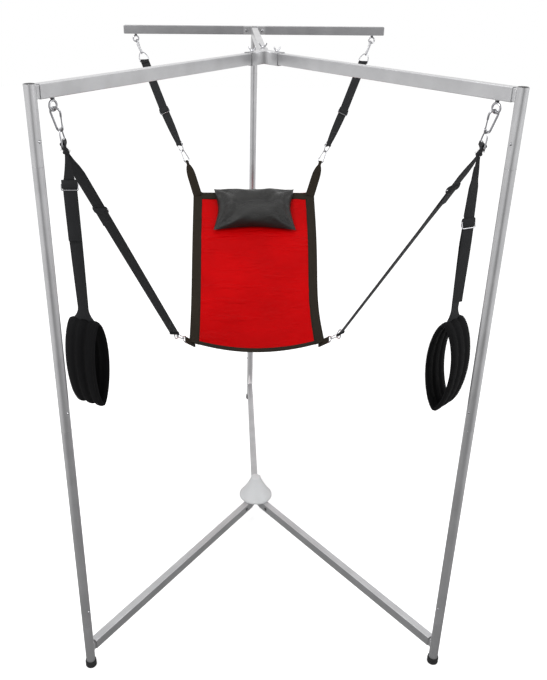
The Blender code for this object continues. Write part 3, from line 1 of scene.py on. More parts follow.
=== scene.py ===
"""Scene of a tripod sling stand: a silver tube frame that carries a red hung seat and two leg loops.

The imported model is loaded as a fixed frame. Each sub-assembly is a class that builds its pieces and
dresses them; ``main`` builds them in order. Lengths are metres, +Z is up and the camera is on -Y.
"""

from __future__ import annotations

import json
import logging
import math
from dataclasses import dataclass, field
from enum import Enum
from typing import Callable, Optional, Sequence, Union

import bmesh
import bpy
from mathutils import Matrix, Vector

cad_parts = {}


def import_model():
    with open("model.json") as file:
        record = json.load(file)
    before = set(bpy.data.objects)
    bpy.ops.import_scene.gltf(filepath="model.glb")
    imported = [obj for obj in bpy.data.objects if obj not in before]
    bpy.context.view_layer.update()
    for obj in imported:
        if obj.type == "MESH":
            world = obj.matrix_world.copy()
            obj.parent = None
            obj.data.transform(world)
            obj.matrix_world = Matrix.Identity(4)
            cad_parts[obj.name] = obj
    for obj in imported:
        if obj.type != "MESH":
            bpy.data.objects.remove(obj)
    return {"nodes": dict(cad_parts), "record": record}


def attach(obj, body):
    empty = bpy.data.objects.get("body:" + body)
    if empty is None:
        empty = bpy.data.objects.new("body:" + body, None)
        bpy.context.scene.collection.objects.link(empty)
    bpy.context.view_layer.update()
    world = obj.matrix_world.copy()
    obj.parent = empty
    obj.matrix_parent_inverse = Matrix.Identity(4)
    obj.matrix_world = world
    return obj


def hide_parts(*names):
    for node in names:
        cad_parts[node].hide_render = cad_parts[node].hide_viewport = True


LOG = logging.getLogger("sling_stand")

UP = Vector((0.0, 0.0, 1.0))
ACROSS = Vector((1.0, 0.0, 0.0))
CAMERA_WAY = Vector((0.0, -1.0, 0.0))
HUB_Y = -0.12145048
ARM_LENGTH = 1.12
GAP = 0.0003
TUBE_ANGLE = 38.0
RAIL_ANGLE = 50.0
WIRE_ANGLE = 60.0
BAR_INSET = 0.0035
STITCH_LIFT = 0.0002
FACES = (-1.0, 1.0)
NO_TURN = (0.0, 0.0, 0.0)

Number = Union[float, int]
Ring = Sequence[Vector]
Profile = Sequence[tuple[float, float]]
Facings = list[tuple[Vector, Vector]]


class Side(Enum):
    """The two sides of the stand, with the sign of their X."""

    LEFT = -1.0
    RIGHT = 1.0

    @property
    def label(self) -> str:
        """Return the side's name as the nodes use it."""
        return self.name.lower()


class Arm(Enum):
    """The three arms of the tripod, with the angle of each in plan, in degrees."""

    LEFT = -126.0
    RIGHT = -54.0
    REAR = 90.0

    @property
    def label(self) -> str:
        """Return the arm's name as the nodes use it."""
        return self.name.lower()

    def matrix(self) -> Matrix:
        """Return the frame whose X runs out along the arm from the hub's axis on the floor."""
        return Matrix.Translation((0.0, HUB_Y, 0.0)) @ Matrix.Rotation(math.radians(self.value), 4, "Z")


class Slot(Enum):
    """The record's material slots."""

    STEEL = "steel"
    ZINC = "zinc"
    COVER = "cover"
    RUBBER = "rubber"
    WEBBING = "webbing"
    SEAT = "seat"
    PILLOW = "pillow"
    PAD = "pad"


# Shader graphs


class Value:
    """One output socket of a node, with the arithmetic that adds Math nodes."""

    def __init__(self, graph: "Graph", socket: bpy.types.NodeSocket) -> None:
        """Keep the socket and the graph that it belongs to."""
        self.graph = graph
        self.socket = socket

    def __add__(self, other: Union["Value", Number]) -> "Value":
        """Return self + other."""
        return self.graph.math("ADD", self, other)

    def __sub__(self, other: Union["Value", Number]) -> "Value":
        """Return self - other."""
        return self.graph.math("SUBTRACT", self, other)

    def __rsub__(self, other: Union["Value", Number]) -> "Value":
        """Return other - self."""
        return self.graph.math("SUBTRACT", other, self)

    def __mul__(self, other: Union["Value", Number]) -> "Value":
        """Return self * other."""
        return self.graph.math("MULTIPLY", self, other)

    __radd__ = __add__
    __rmul__ = __mul__


class Graph:
    """A node tree that is written as expressions."""

    def __init__(self, tree: bpy.types.NodeTree) -> None:
        """Wrap a node tree."""
        self.tree = tree

    @staticmethod
    def _find(sockets: Sequence[bpy.types.NodeSocket], key: Union[str, int]) -> bpy.types.NodeSocket:
        """Return a socket by its place, identifier or name."""
        if isinstance(key, int):
            return sockets[key]
        for socket in sockets:
            if socket.identifier == key:
                return socket
        return sockets[key]

    def node(
        self,
        kind: str,
        settings: Optional[dict[str, object]] = None,
        inputs: Optional[dict[Union[str, int], object]] = None,
        output: Union[str, int] = 0,
    ) -> Value:
        """Add any node.

        Args:
            kind: The node's type name.
            settings: Properties that are set first.
            inputs: Values or links of its sockets, by place, identifier or name.
            output: The output socket that is returned.

        Returns:
            The node's output as a value.
        """
        made = self.tree.nodes.new(kind)
        for name, setting in (settings or {}).items():
            setattr(made, name, setting)
        for key, given in (inputs or {}).items():
            socket = self._find(made.inputs, key)
            if isinstance(given, Value):
                self.tree.links.new(given.socket, socket)
            else:
                socket.default_value = given
        return Value(self, self._find(made.outputs, output))

    def math(self, operation: str, *values: Union[Value, Number]) -> Value:
        """Add a Math node on one to three values."""
        return self.node("ShaderNodeMath", {"operation": operation}, dict(enumerate(values)))

    def mix(self, mask: Union[Value, Number], first: object, second: object) -> Value:
        """Mix two colours, each a value or an RGB triple."""
        pair = [item if isinstance(item, Value) else (*item, 1.0) for item in (first, second)]
        inputs = {"Factor_Float": mask, "A_Color": pair[0], "B_Color": pair[1]}
        return self.node("ShaderNodeMix", {"data_type": "RGBA"}, inputs, "Result_Color")

    def place(self) -> Value:
        """Return the Object coordinates."""
        return self.node("ShaderNodeTexCoord", output="Object")

    def stretch(self, vector: Value, scale: Sequence[float], turn: Sequence[float] = NO_TURN) -> Value:
        """Scale and turn a coordinate about a piece's own origin."""
        return self.node("ShaderNodeMapping", inputs={"Vector": vector, "Scale": scale, "Rotation": turn})

    def noise(self, vector: Value, scale: float, detail: float = 3.0, roughness: float = 0.55) -> Value:
        """Return a noise value around 0.5."""
        inputs = {"Vector": vector, "Scale": scale, "Detail": detail, "Roughness": roughness}
        return self.node("ShaderNodeTexNoise", inputs=inputs)

    def ramp(self, factor: Value, low: float, high: float) -> Value:
        """Return a mask that rises from 0 to 1 between two levels."""
        inputs = {"Value": factor, "From Min": low, "From Max": high, "To Min": 0.0, "To Max": 1.0}
        return self.node("ShaderNodeMapRange", {"interpolation_type": "SMOOTHSTEP"}, inputs)

    def bump(self, height: Value, distance: float, strength: float = 1.0) -> Value:
        """Return a normal from a height between 0 and 1 that stands for a distance in metres."""
        inputs = {"Height": height, "Distance": distance, "Strength": strength}
        return self.node("ShaderNodeBump", inputs=inputs)

    def parts(self, vector: Value) -> tuple[Value, Value, Value]:
        """Return a vector's three components."""
        first = self.node("ShaderNodeSeparateXYZ", inputs={0: vector})
        outputs = first.socket.node.outputs
        return first, Value(self, outputs[1]), Value(self, outputs[2])

    def threads(self, along: Value, pitch: float) -> Value:
        """Return threads as waves between 0 and 1 with a pitch in metres."""
        return self.math("SINE", along * (math.tau / pitch)) * 0.5 + 0.5

    def edges(self, radius: float) -> Value:
        """Return a mask of convex and concave edges, from a bevelled normal against the true one."""
        soft = self.node("ShaderNodeBevel", {"samples": 4}, {"Radius": radius})
        true = self.node("ShaderNodeNewGeometry", output="Normal")
        dot = self.node("ShaderNodeVectorMath", {"operation": "DOT_PRODUCT"}, {0: soft, 1: true}, "Value")
        return self.ramp(1.0 - dot, 0.02, 0.30)


# Finishes


@dataclass(frozen=True)
class Finish:
    """A finish that makes one material: its name, colour, roughness, metallic level and gloss."""

    name: str
    colour: tuple[float, float, float]
    roughness: float
    metallic: float = 0.0
    gloss: float = 0.5

    def material(self) -> bpy.types.Material:
        """Return the finish's material, made once."""
        found = bpy.data.materials.get(self.name)
        if found is not None:
            return found
        made = bpy.data.materials.new(self.name)
        made.use_nodes = True
        made.diffuse_color = (*self.colour, 1.0)
        shader = made.node_tree.nodes["Principled BSDF"]
        shader.inputs["Roughness"].default_value = self.roughness
        shader.inputs["Metallic"].default_value = self.metallic
        shader.inputs["Specular IOR Level"].default_value = self.gloss
        shader.inputs["Base Color"].default_value = (*self.colour, 1.0)
        self.dress(Graph(made.node_tree), shader)
        return made

    def dress(self, graph: Graph, shader: bpy.types.Node) -> None:
        """Add the finish's own detail to the shader."""

    @staticmethod
    def feed(shader: bpy.types.Node, **values: Value) -> None:
        """Link values to the shader's sockets, given by name with underscores for spaces."""
        for name, value in values.items():
            socket = shader.inputs[name.replace("_", " ")]
            value.graph.tree.links.new(value.socket, socket)

    def shade(self, share: float) -> tuple[float, float, float]:
        """Return the colour times a share."""
        return tuple(min(1.0, channel * share) for channel in self.colour)


@dataclass(frozen=True)
class PowderCoat(Finish):
    """Silver powder coat: fine orange peel, faint mottling and a painted highlight along the edges."""

    peel: float = 0.00006
    mottle: float = 0.07

    def dress(self, graph: Graph, shader: bpy.types.Node) -> None:
        """Add mottling, peel and the painted edge highlight."""
        place = graph.place()
        clouds = graph.noise(place, 9.0, 4.0)
        flakes = graph.noise(place, 2400.0, 1.0)
        # The edges are painted lighter, a painted highlight, and their roughness is lowered.
        edge_highlight = graph.edges(0.0012)
        dim, light = self.shade(1.0 - self.mottle), self.shade(1.0 + self.mottle)
        mottled = graph.mix(graph.ramp(clouds, 0.3, 0.7), dim, light)
        flecked = graph.mix(graph.ramp(flakes, 0.55, 0.75) * 0.35, mottled, self.shade(1.35))
        colour = graph.mix(edge_highlight * 0.45, flecked, self.shade(1.45))
        peel = graph.noise(place, 900.0, 2.0)
        self.feed(
            shader,
            Base_Color=colour,
            Roughness=self.roughness + (clouds - 0.5) * 0.12 - edge_highlight * 0.08,
            Normal=graph.bump(peel, self.peel, 0.6),
        )
        shader.inputs["Coat Weight"].default_value = 0.15
        shader.inputs["Coat Roughness"].default_value = 0.2


@dataclass(frozen=True)
class Plated(Finish):
    """Bright zinc plate: a mirror-like metal with faint clouding and fine draw marks."""

    grain: float = 900.0

    def dress(self, graph: Graph, shader: bpy.types.Node) -> None:
        """Add clouding and draw marks."""
        place = graph.place()
        clouds = graph.noise(place, 120.0, 3.0)
        marks = graph.noise(graph.stretch(place, (1.0, 1.0, 0.15)), self.grain, 2.0)
        colour = graph.mix(graph.ramp(clouds, 0.35, 0.75), self.colour, self.shade(0.78))
        self.feed(
            shader,
            Base_Color=colour,
            Roughness=self.roughness + (clouds - 0.5) * 0.18,
            Normal=graph.bump(marks, 0.00003, 0.5),
        )


@dataclass(frozen=True)
class Moulded(Finish):
    """Moulded plastic or rubber: a fine spark-eroded grain, slight scuffing and a painted highlight along the
    edges.
    """

    grain: float = 1400.0
    depth: float = 0.00008
    scuff: float = 0.25

    def dress(self, graph: Graph, shader: bpy.types.Node) -> None:
        """Add grain, scuffs and the painted edge highlight."""
        place = graph.place()
        grain = graph.noise(place, self.grain, 2.0)
        scuffs = graph.ramp(graph.noise(graph.stretch(place, (1.0, 1.0, 3.0)), 60.0, 5.0), 0.55, 0.8)
        # The scuffs are real wear; the edges are painted lighter as a painted highlight.
        edge_highlight = graph.edges(0.0015)
        colour = graph.mix(scuffs * self.scuff + edge_highlight * 0.2, self.colour, self.shade(1.5))
        self.feed(
            shader,
            Base_Color=colour,
            Roughness=self.roughness + scuffs * 0.1 + (grain - 0.5) * 0.1,
            Normal=graph.bump(grain, self.depth, 0.7),
        )


@dataclass(frozen=True)
class Webbing(Finish):
    """Woven webbing: a herringbone twill that follows the strap's UV map, in metres."""

    rib: float = 0.0022
    warp: float = 0.0014
    depth: float = 0.0003
    fleck: float = 1.9

    def dress(self, graph: Graph, shader: bpy.types.Node) -> None:
        """Add the twill, its colour and its fuzz."""
        along, across, _ = graph.parts(graph.node("ShaderNodeUVMap"))
        zigzag = graph.math("PINGPONG", across, 0.0075)
        ribs = graph.threads(along + zigzag * 0.9, self.rib)
        threads = graph.threads(across, self.warp)
        weave = ribs * 0.65 + threads * ribs * 0.35
        place = graph.place()
        fuzz = graph.noise(place, 1800.0, 2.0)
        faded = graph.noise(place, 14.0, 3.0)
        colour = graph.mix(weave * 0.8 + fuzz * 0.3, self.shade(0.45), self.shade(self.fleck))
        colour = graph.mix(graph.ramp(faded, 0.35, 0.75) * 0.35, colour, self.shade(self.fleck * 0.8))
        height = weave * 0.8 + fuzz * 0.2
        self.feed(
            shader,
            Base_Color=colour,
            Roughness=self.roughness - weave * 0.12,
            Normal=graph.bump(height, self.depth, 0.9),
        )


@dataclass(frozen=True)
class CoatedCloth(Finish):
    """Coated red nylon: a fine plain weave, slow tonal change and soft pulled wrinkles."""

    thread: float = 0.0011
    wrinkle: float = 0.013

    def dress(self, graph: Graph, shader: bpy.types.Node) -> None:
        """Add the weave, the tonal change and the wrinkles."""
        place = graph.place()
        x, y, z = graph.parts(place)
        down = y * 0.83 + z * 0.557
        weave = graph.threads(x, self.thread) * graph.threads(down, self.thread)
        slow = graph.noise(place, 3.2, 3.0)
        pulls = graph.noise(graph.stretch(place, (2.2, 9.0, 9.0), (0.0, 0.0, 0.25)), 1.6, 3.0, 0.5)
        folds = graph.noise(graph.stretch(place, (3.0, 14.0, 14.0), (0.0, 0.0, -0.35)), 1.5, 2.0)
        ridges = graph.ramp(folds, 0.5, 0.78)
        colour = graph.mix(graph.ramp(slow, 0.3, 0.72), self.shade(0.84), self.shade(1.05))
        colour = graph.mix(weave * 0.25, colour, self.shade(1.35))
        self.feed(
            shader,
            Base_Color=colour,
            Roughness=self.roughness + (slow - 0.5) * 0.15 - ridges * 0.08,
            Normal=graph.bump(pulls * 0.55 + ridges * 0.45 + weave * 0.02, self.wrinkle, 0.9),
        )


@dataclass(frozen=True)
class Hide(Finish):
    """Soft grained cover: pebbled grain with shallow creases, a painted highlight on their crests and a satin
    sheen.
    """

    pebble: float = 520.0

    def dress(self, graph: Graph, shader: bpy.types.Node) -> None:
        """Add the pebble grain, the creases and the painted highlight on their crests."""
        place = graph.place()
        cells = graph.node(
            "ShaderNodeTexVoronoi", {"feature": "DISTANCE_TO_EDGE"}, {"Vector": place, "Scale": self.pebble}
        )
        grain = graph.ramp(cells, 0.0, 0.22)
        creases = graph.noise(graph.stretch(place, (7.0, 22.0, 22.0), (0.0, 0.0, 0.3)), 1.4, 4.0)
        colour = graph.mix(grain, self.shade(0.6), self.shade(1.15))
        # The crease crests are painted lighter: a painted highlight on the folds.
        colour = graph.mix(graph.ramp(creases, 0.45, 0.75) * 0.4, colour, self.shade(1.7))
        self.feed(
            shader,
            Base_Color=colour,
            Roughness=self.roughness - grain * 0.08 + (creases - 0.5) * 0.2,
            Normal=graph.bump(grain * 0.15 + creases * 0.85, 0.0028, 0.6),
        )


@dataclass(frozen=True)
class PadCloth(Finish):
    """Black padded cloth: a tight canvas weave with rubbed, dusty crowns."""

    thread: float = 0.0013

    def dress(self, graph: Graph, shader: bpy.types.Node) -> None:
        """Add the canvas weave and the rubbed crowns."""
        along, across, _ = graph.parts(graph.node("ShaderNodeUVMap"))
        weave = graph.threads(along, self.thread) * 0.5 + graph.threads(across, self.thread) * 0.5
        place = graph.place()
        lint = graph.noise(place, 420.0, 4.0)
        soft = graph.noise(place, 26.0, 3.0)
        colour = graph.mix(weave * 0.6 + graph.ramp(lint, 0.6, 0.85), self.shade(0.6), self.shade(2.2))
        self.feed(
            shader,
            Base_Color=colour,
            Roughness=self.roughness - weave * 0.1,
            Normal=graph.bump(weave * 0.12 + soft * 0.88, 0.0018, 0.7),
        )


@dataclass(frozen=True)
class Thread(Finish):
    """Sewing thread: a fine twist."""

    def dress(self, graph: Graph, shader: bpy.types.Node) -> None:
        """Add the twist."""
        twist = graph.noise(graph.place(), 2600.0, 2.0)
        self.feed(
            shader,
            Base_Color=graph.mix(twist, self.shade(0.7), self.shade(1.3)),
            Normal=graph.bump(twist, 0.0001, 0.8),
        )


STEEL = PowderCoat("silver powder coat", (0.50, 0.50, 0.51), 0.34, 0.72)
DARK_STEEL = PowderCoat("grey powder coat", (0.33, 0.33, 0.34), 0.38, 0.6)
# The weld coat is the silver powder coat painted lighter: a painted highlight on the weld beads.
WELD_HIGHLIGHT_COAT = PowderCoat("weld seam", (0.70, 0.70, 0.71), 0.32, 0.7)
ZINC = Plated("bright zinc", (0.54, 0.54, 0.56), 0.20, 1.0)
DARK_ZINC = Plated("dark bolt steel", (0.10, 0.10, 0.105), 0.38, 1.0)
COVER = Moulded("pale cover plastic", (0.70, 0.71, 0.72), 0.42)
RUBBER = Moulded("foot rubber", (0.022, 0.022, 0.023), 0.7, gloss=0.3, grain=700.0, depth=0.0002)
PLUG = Moulded("plug plastic", (0.03, 0.03, 0.032), 0.55, gloss=0.3)
STRAP_WEB = Webbing("grey black webbing", (0.0185, 0.0190, 0.0205), 0.78, gloss=0.18)
BORDER_WEB = Webbing("brown black webbing", (0.0210, 0.0165, 0.0115), 0.85, gloss=0.15, fleck=1.7)
RED = CoatedCloth("red coated nylon", (0.56, 0.0004, 0.0015), 0.42, gloss=0.045)
HIDE = Hide("black pillow cover", (0.0085, 0.0085, 0.0078), 0.36, gloss=0.42)
PAD = PadCloth("black padded cloth", (0.0050, 0.0050, 0.0056), 0.85, gloss=0.12)
DARK_THREAD = Thread("dark thread", (0.018, 0.016, 0.014), 0.8, gloss=0.2)
GREY_THREAD = Thread("grey thread", (0.16, 0.16, 0.17), 0.7, gloss=0.2)


# Mesh making


def frame_matrix(origin: Vector, z_axis: Vector, x_hint: Vector) -> Matrix:
    """Return the matrix at an origin with its Z along one direction and its X near another."""
    z = z_axis.normalized()
    x = (x_hint - z * x_hint.dot(z)).normalized()
    matrix = Matrix((x, z.cross(x), z)).transposed().to_4x4()
    matrix.translation = origin
    return matrix


def azimuth(angle: float) -> Vector:
    """Return the level direction at an angle in radians, turned from +Y towards +X."""
    return Vector((math.sin(angle), math.cos(angle), 0.0))


def spread(start: Vector, end: Vector, count: int) -> list[Vector]:
    """Return evenly spaced points from start to end."""
    return [start.lerp(end, i / (count - 1)) for i in range(count)]


def smooth_step(share: float) -> float:
    """Return an eased share."""
    return share * share * (3.0 - 2.0 * share)


def wave(value: float, *terms: tuple[float, float, float]) -> float:
    """Return a sum of sines, each given as (height, rate, phase)."""
    return sum(height * math.sin(rate * value + phase) for height, rate, phase in terms)


def bowed(value: float, power: float) -> float:
    """Return a value raised to a power, with its sign kept."""
    return math.copysign(abs(value) ** power, value)


def circle(radius: float, sides: int, height: float = 0.0) -> list[Vector]:
    """Return the points of a level circle round Z."""
    angles = (math.tau * i / sides for i in range(sides))
    return [Vector((radius * math.cos(a), radius * math.sin(a), height)) for a in angles]


def tangents(path: Sequence[Vector], closed: bool) -> list[Vector]:
    """Return the direction of a path at each of its points."""
    count = len(path)
    ways = []
    for i, point in enumerate(path):
        before = path[i - 1] if closed or i else point
        after = path[(i + 1) % count] if closed or i < count - 1 else point
        ways.append((after - before).normalized())
    return ways


def turned_to(normal: Vector, way: Vector) -> Vector:
    """Return a normal, turned over where it points away from a direction."""
    return normal if normal.dot(way) > 0.0 else -normal


class Form:
    """A gatherer of closed shells that become one object with a UV map in metres."""

    def __init__(self) -> None:
        """Start with nothing."""
        self.points: list[Vector] = []
        self.faces: list[tuple[int, ...]] = []
        self.marks: list[tuple[float, float]] = []

    def loft(self, rings: Sequence[Ring], closed: bool = False, matrix: Optional[Matrix] = None) -> "Form":
        """Skin a run of rings, capped at its ends unless it closes on itself.

        Args:
            rings: Rings of the same number of points each.
            closed: Whether the last ring joins the first.
            matrix: Where the run is placed.

        Returns:
            The form itself.
        """
        base = len(self.points)
        count = len(rings[0])
        placed = [[matrix @ point if matrix else point for point in ring] for ring in rings]
        for ring in placed:
            self.points.extend(ring)
        middles = [sum(ring, Vector()) / count for ring in placed]
        runs = [0.0]
        steps = middles[1:] + ([middles[0]] if closed else [])
        for before, after in zip(middles, steps):
            runs.append(runs[-1] + (after - before).length)
        widest = max(placed, key=lambda ring: (ring[0] - ring[count // 2]).length)
        turns = [0.0]
        for j in range(count):
            turns.append(turns[-1] + (widest[(j + 1) % count] - widest[j]).length)
        for i in range(len(rings) if closed else len(rings) - 1):
            row = base + i * count
            after_row = base + ((i + 1) % len(rings)) * count
            for j in range(count):
                k = (j + 1) % count
                self.faces.append((row + j, row + k, after_row + k, after_row + j))
                low, high = runs[i], runs[i + 1]
                self.marks += [(low, turns[j]), (low, turns[j + 1]), (high, turns[j + 1]), (high, turns[j])]
        if not closed:
            for row, run in ((0, 0.0), (len(rings) - 1, runs[-1])):
                self.faces.append(tuple(base + row * count + j for j in range(count)))
                self.marks += [(run, turns[j]) for j in range(count)]
        return self

    def lathe(self, profile: Profile, sides: int, matrix: Optional[Matrix] = None) -> "Form":
        """Turn a profile of (radius, height) pairs about Z, capped at both ends."""
        return self.loft([circle(radius, sides, height) for radius, height in profile], matrix=matrix)

    def wire(
        self,
        path: Sequence[Vector],
        radius: Union[float, Callable[[float], float]],
        sides: int = 14,
        closed: bool = False,
        matrix: Optional[Matrix] = None,
    ) -> "Form":
        """Sweep a round wire along a path, with rounded ends when it is open.

        Args:
            path: The points that the wire follows.
            radius: The wire's radius, or a function of the share of the path.
            sides: The number of sides of the wire.
            closed: Whether the path closes on itself.
            matrix: Where the wire is placed.

        Returns:
            The form itself.
        """
        ways = tangents(path, closed)
        hint = ACROSS if abs(ways[0].dot(ACROSS)) < 0.9 else UP
        normal = (hint - ways[0] * hint.dot(ways[0])).normalized()
        rings = []
        for i, (point, tangent) in enumerate(zip(path, ways)):
            normal = (normal - tangent * normal.dot(tangent)).normalized()
            side = tangent.cross(normal)
            size = radius(i / max(1, len(path) - 1)) if callable(radius) else radius
            ring = []
            for j in range(sides):
                angle = math.tau * j / sides
                ring.append(point + (normal * math.cos(angle) + side * math.sin(angle)) * size)
            rings.append(ring)
        if not closed:
            rings = self._rounded(rings[0], path[0], -ways[0]) + rings[1:]
            rings = rings[:-1] + self._rounded(rings[-1], path[-1], ways[-1])[::-1]
        return self.loft(rings, closed, matrix)

    @staticmethod
    def _rounded(ring: Ring, end: Vector, out: Vector) -> list[Ring]:
        """Return three rings that round off the end of a wire."""
        size = (ring[0] - end).length
        made = []
        for share in (0.35, 0.75, 1.0):
            push = out * (size * 0.6 * math.sqrt(1.0 - share * share))
            made.append([end + (point - end) * share + push for point in ring])
        return made

    def ribbon(
        self,
        path: Sequence[Vector],
        across: Sequence[Vector],
        width: Union[float, Sequence[float]],
        thickness: float,
        closed: bool = False,
    ) -> "Form":
        """Sweep a flat strap with rounded edges along a path.

        Args:
            path: The points of the strap's middle line.
            across: The width's direction at each point.
            width: One width, or a width for each point.
            thickness: The strap's thickness.
            closed: Whether the path closes on itself.

        Returns:
            The form itself.
        """
        widths = [width] * len(path) if isinstance(width, float) else width
        half = thickness / 2
        rings = []
        for point, tangent, way, wide in zip(path, tangents(path, closed), across, widths):
            side = (way - tangent * way.dot(tangent)).normalized()
            out = tangent.cross(side)
            reach = wide / 2
            inner = max(reach - half, reach * 0.5)
            edge = reach - half * 0.3
            turn = [(-inner, half), (-inner * 0.5, half * 1.06), (0.0, half * 1.1)]
            turn += [(inner * 0.5, half * 1.06), (inner, half)]
            turn += [(edge, half * 0.7), (reach, 0.0), (edge, -half * 0.7)]
            outline = turn + [(-x, -y) for x, y in turn]
            rings.append([point + side * x + out * y for x, y in outline])
        return self.loft(rings, closed)

    def piece(self, name: str, finish: Finish, angle: float = RAIL_ANGLE) -> bpy.types.Object:
        """Return the gathered shells as one object.

        Args:
            name: The object's name.
            finish: The finish that dresses it.
            angle: Edges sharper than this many degrees stay crisp.

        Returns:
            The object, at the origin.
        """
        mesh = bpy.data.meshes.new(name)
        mesh.from_pydata([tuple(point) for point in self.points], [], self.faces)
        layer = mesh.uv_layers.new(name="UVMap")
        for corner, mark in zip(layer.data, self.marks):
            corner.uv = mark
        work = bmesh.new()
        work.from_mesh(mesh)
        bmesh.ops.recalc_face_normals(work, faces=work.faces)
        work.to_mesh(mesh)
        work.free()
        return as_piece(name, mesh, finish, angle)


def as_piece(name: str, mesh: bpy.types.Mesh, finish: Finish, angle: float = RAIL_ANGLE) -> bpy.types.Object:
    """Link a mesh as a smooth-shaded piece with one finish."""
    mesh.materials.clear()
    mesh.materials.append(finish.material())
    mesh.shade_smooth()
    mesh.set_sharp_from_angle(angle=math.radians(angle))
    piece = bpy.data.objects.new(name, mesh)
    bpy.context.scene.collection.objects.link(piece)
    return piece


def settle(piece: bpy.types.Object) -> bpy.types.Object:
    """Apply a piece's modifiers to its mesh."""
    graph = bpy.context.evaluated_depsgraph_get()
    mesh = bpy.data.meshes.new_from_object(piece.evaluated_get(graph), depsgraph=graph)
    piece.modifiers.clear()
    old = piece.data
    piece.data = mesh
    bpy.data.meshes.remove(old)
    mesh.name = piece.name
    return piece


def weighted(piece: bpy.types.Object) -> bpy.types.Object:
    """Weight a piece's normals by face area, so that flat faces shade flat beside rounded corners."""
    modifier = piece.modifiers.new("weighted", "WEIGHTED_NORMAL")
    modifier.keep_sharp = True
    return settle(piece)


class Repeat(Enum):
    """What a run along a path repeats."""

    STITCH = "stitch"
    BEAD = "bead"


@dataclass(frozen=True)
class Run:
    """A Geometry Nodes tree that sets small closed shapes along paths."""

    kind: Repeat
    pitch: float
    length: float
    width: float
    height: float

    def tree(self, finish: Finish) -> bpy.types.NodeTree:
        """Return the tree: path to curve, even spacing, one small shape at each point."""
        name = f"{self.kind.value} run {finish.name}"
        found = bpy.data.node_groups.get(name)
        if found is not None:
            return found
        tree = bpy.data.node_groups.new(name, "GeometryNodeTree")
        sockets = (("Path", "NodeSocketGeometry"), ("Pitch", "NodeSocketFloat"), ("Size", "NodeSocketVector"))
        for label, kind in sockets:
            tree.interface.new_socket(name=label, in_out="INPUT", socket_type=kind)
        tree.interface.new_socket(name="Pieces", in_out="OUTPUT", socket_type="NodeSocketGeometry")
        graph = Graph(tree)
        given = graph.node("NodeGroupInput", output="Path")
        outputs = given.socket.node.outputs
        pitch, size = Value(graph, outputs["Pitch"]), Value(graph, outputs["Size"])
        curve = graph.node("GeometryNodeMeshToCurve", inputs={"Mesh": given})
        inputs = {"Curve": curve, "Length": pitch}
        spaced = graph.node("GeometryNodeResampleCurve", {"mode": "LENGTH"}, inputs)
        tangent = graph.node("GeometryNodeInputTangent")
        attribute = "GeometryNodeInputNamedAttribute"
        facing = graph.node(attribute, {"data_type": "FLOAT_VECTOR"}, {"Name": "facing"}, "Attribute")
        align = "FunctionNodeAlignRotationToVector"
        turned = graph.node(align, {"axis": "Z"}, {"Vector": facing})
        turned = graph.node(align, {"axis": "X", "pivot_axis": "Z"}, {"Rotation": turned, "Vector": tangent})
        ball = graph.node("GeometryNodeMeshUVSphere", inputs={"Segments": 6, "Rings": 4, "Radius": 1.0})
        inputs = {"Points": spaced, "Instance": ball, "Rotation": turned, "Scale": size}
        placed = graph.node("GeometryNodeInstanceOnPoints", inputs=inputs)
        real = graph.node("GeometryNodeRealizeInstances", inputs={"Geometry": placed})
        inputs = {"Geometry": real, "Material": finish.material()}
        dressed = graph.node("GeometryNodeSetMaterial", inputs=inputs)
        out = tree.nodes.new("NodeGroupOutput")
        tree.links.new(dressed.socket, out.inputs["Pieces"])
        return tree

    def piece(self, name: str, paths: Sequence[Facings], finish: Finish) -> bpy.types.Object:
        """Return one plain mesh object with the shapes along all the paths.

        Args:
            name: The object's name.
            paths: Runs of (place, outward direction) pairs.
            finish: The finish of the shapes.

        Returns:
            The object, at the origin.
        """
        points, facings, edges = [], [], []
        for path in paths:
            base = len(points)
            points += [place for place, _ in path]
            facings += [facing for _, facing in path]
            edges += [(base + i, base + i + 1) for i in range(len(path) - 1)]
        mesh = bpy.data.meshes.new(name)
        mesh.from_pydata([tuple(point) for point in points], edges, [])
        layer = mesh.attributes.new("facing", "FLOAT_VECTOR", "POINT")
        for item, facing in zip(layer.data, facings):
            item.vector = facing
        holder = bpy.data.objects.new(name, mesh)
        bpy.context.scene.collection.objects.link(holder)
        tree = self.tree(finish)
        modifier = holder.modifiers.new(self.kind.value, "NODES")
        modifier.node_group = tree
        given = {"Pitch": self.pitch, "Size": (self.length / 2, self.width / 2, self.height / 2)}
        for item in tree.interface.items_tree:
            if item.in_out == "INPUT" and item.name in given:
                modifier[item.identifier] = given[item.name]
        holder.update_tag()
        graph = bpy.context.evaluated_depsgraph_get()
        made = bpy.data.meshes.new_from_object(holder.evaluated_get(graph), depsgraph=graph)
        bpy.data.objects.remove(holder, do_unlink=True)
        bpy.data.meshes.remove(mesh)
        for attribute in [item for item in made.attributes if item.name == "facing"]:
            made.attributes.remove(attribute)
        return as_piece(name, made, finish, 80.0)


STITCHES = Run(Repeat.STITCH, pitch=0.0038, length=0.0030, width=0.0009, height=0.0008)
BEADS = Run(Repeat.BEAD, pitch=0.0016, length=0.0026, width=0.0032, height=0.0026)


# The part's frame


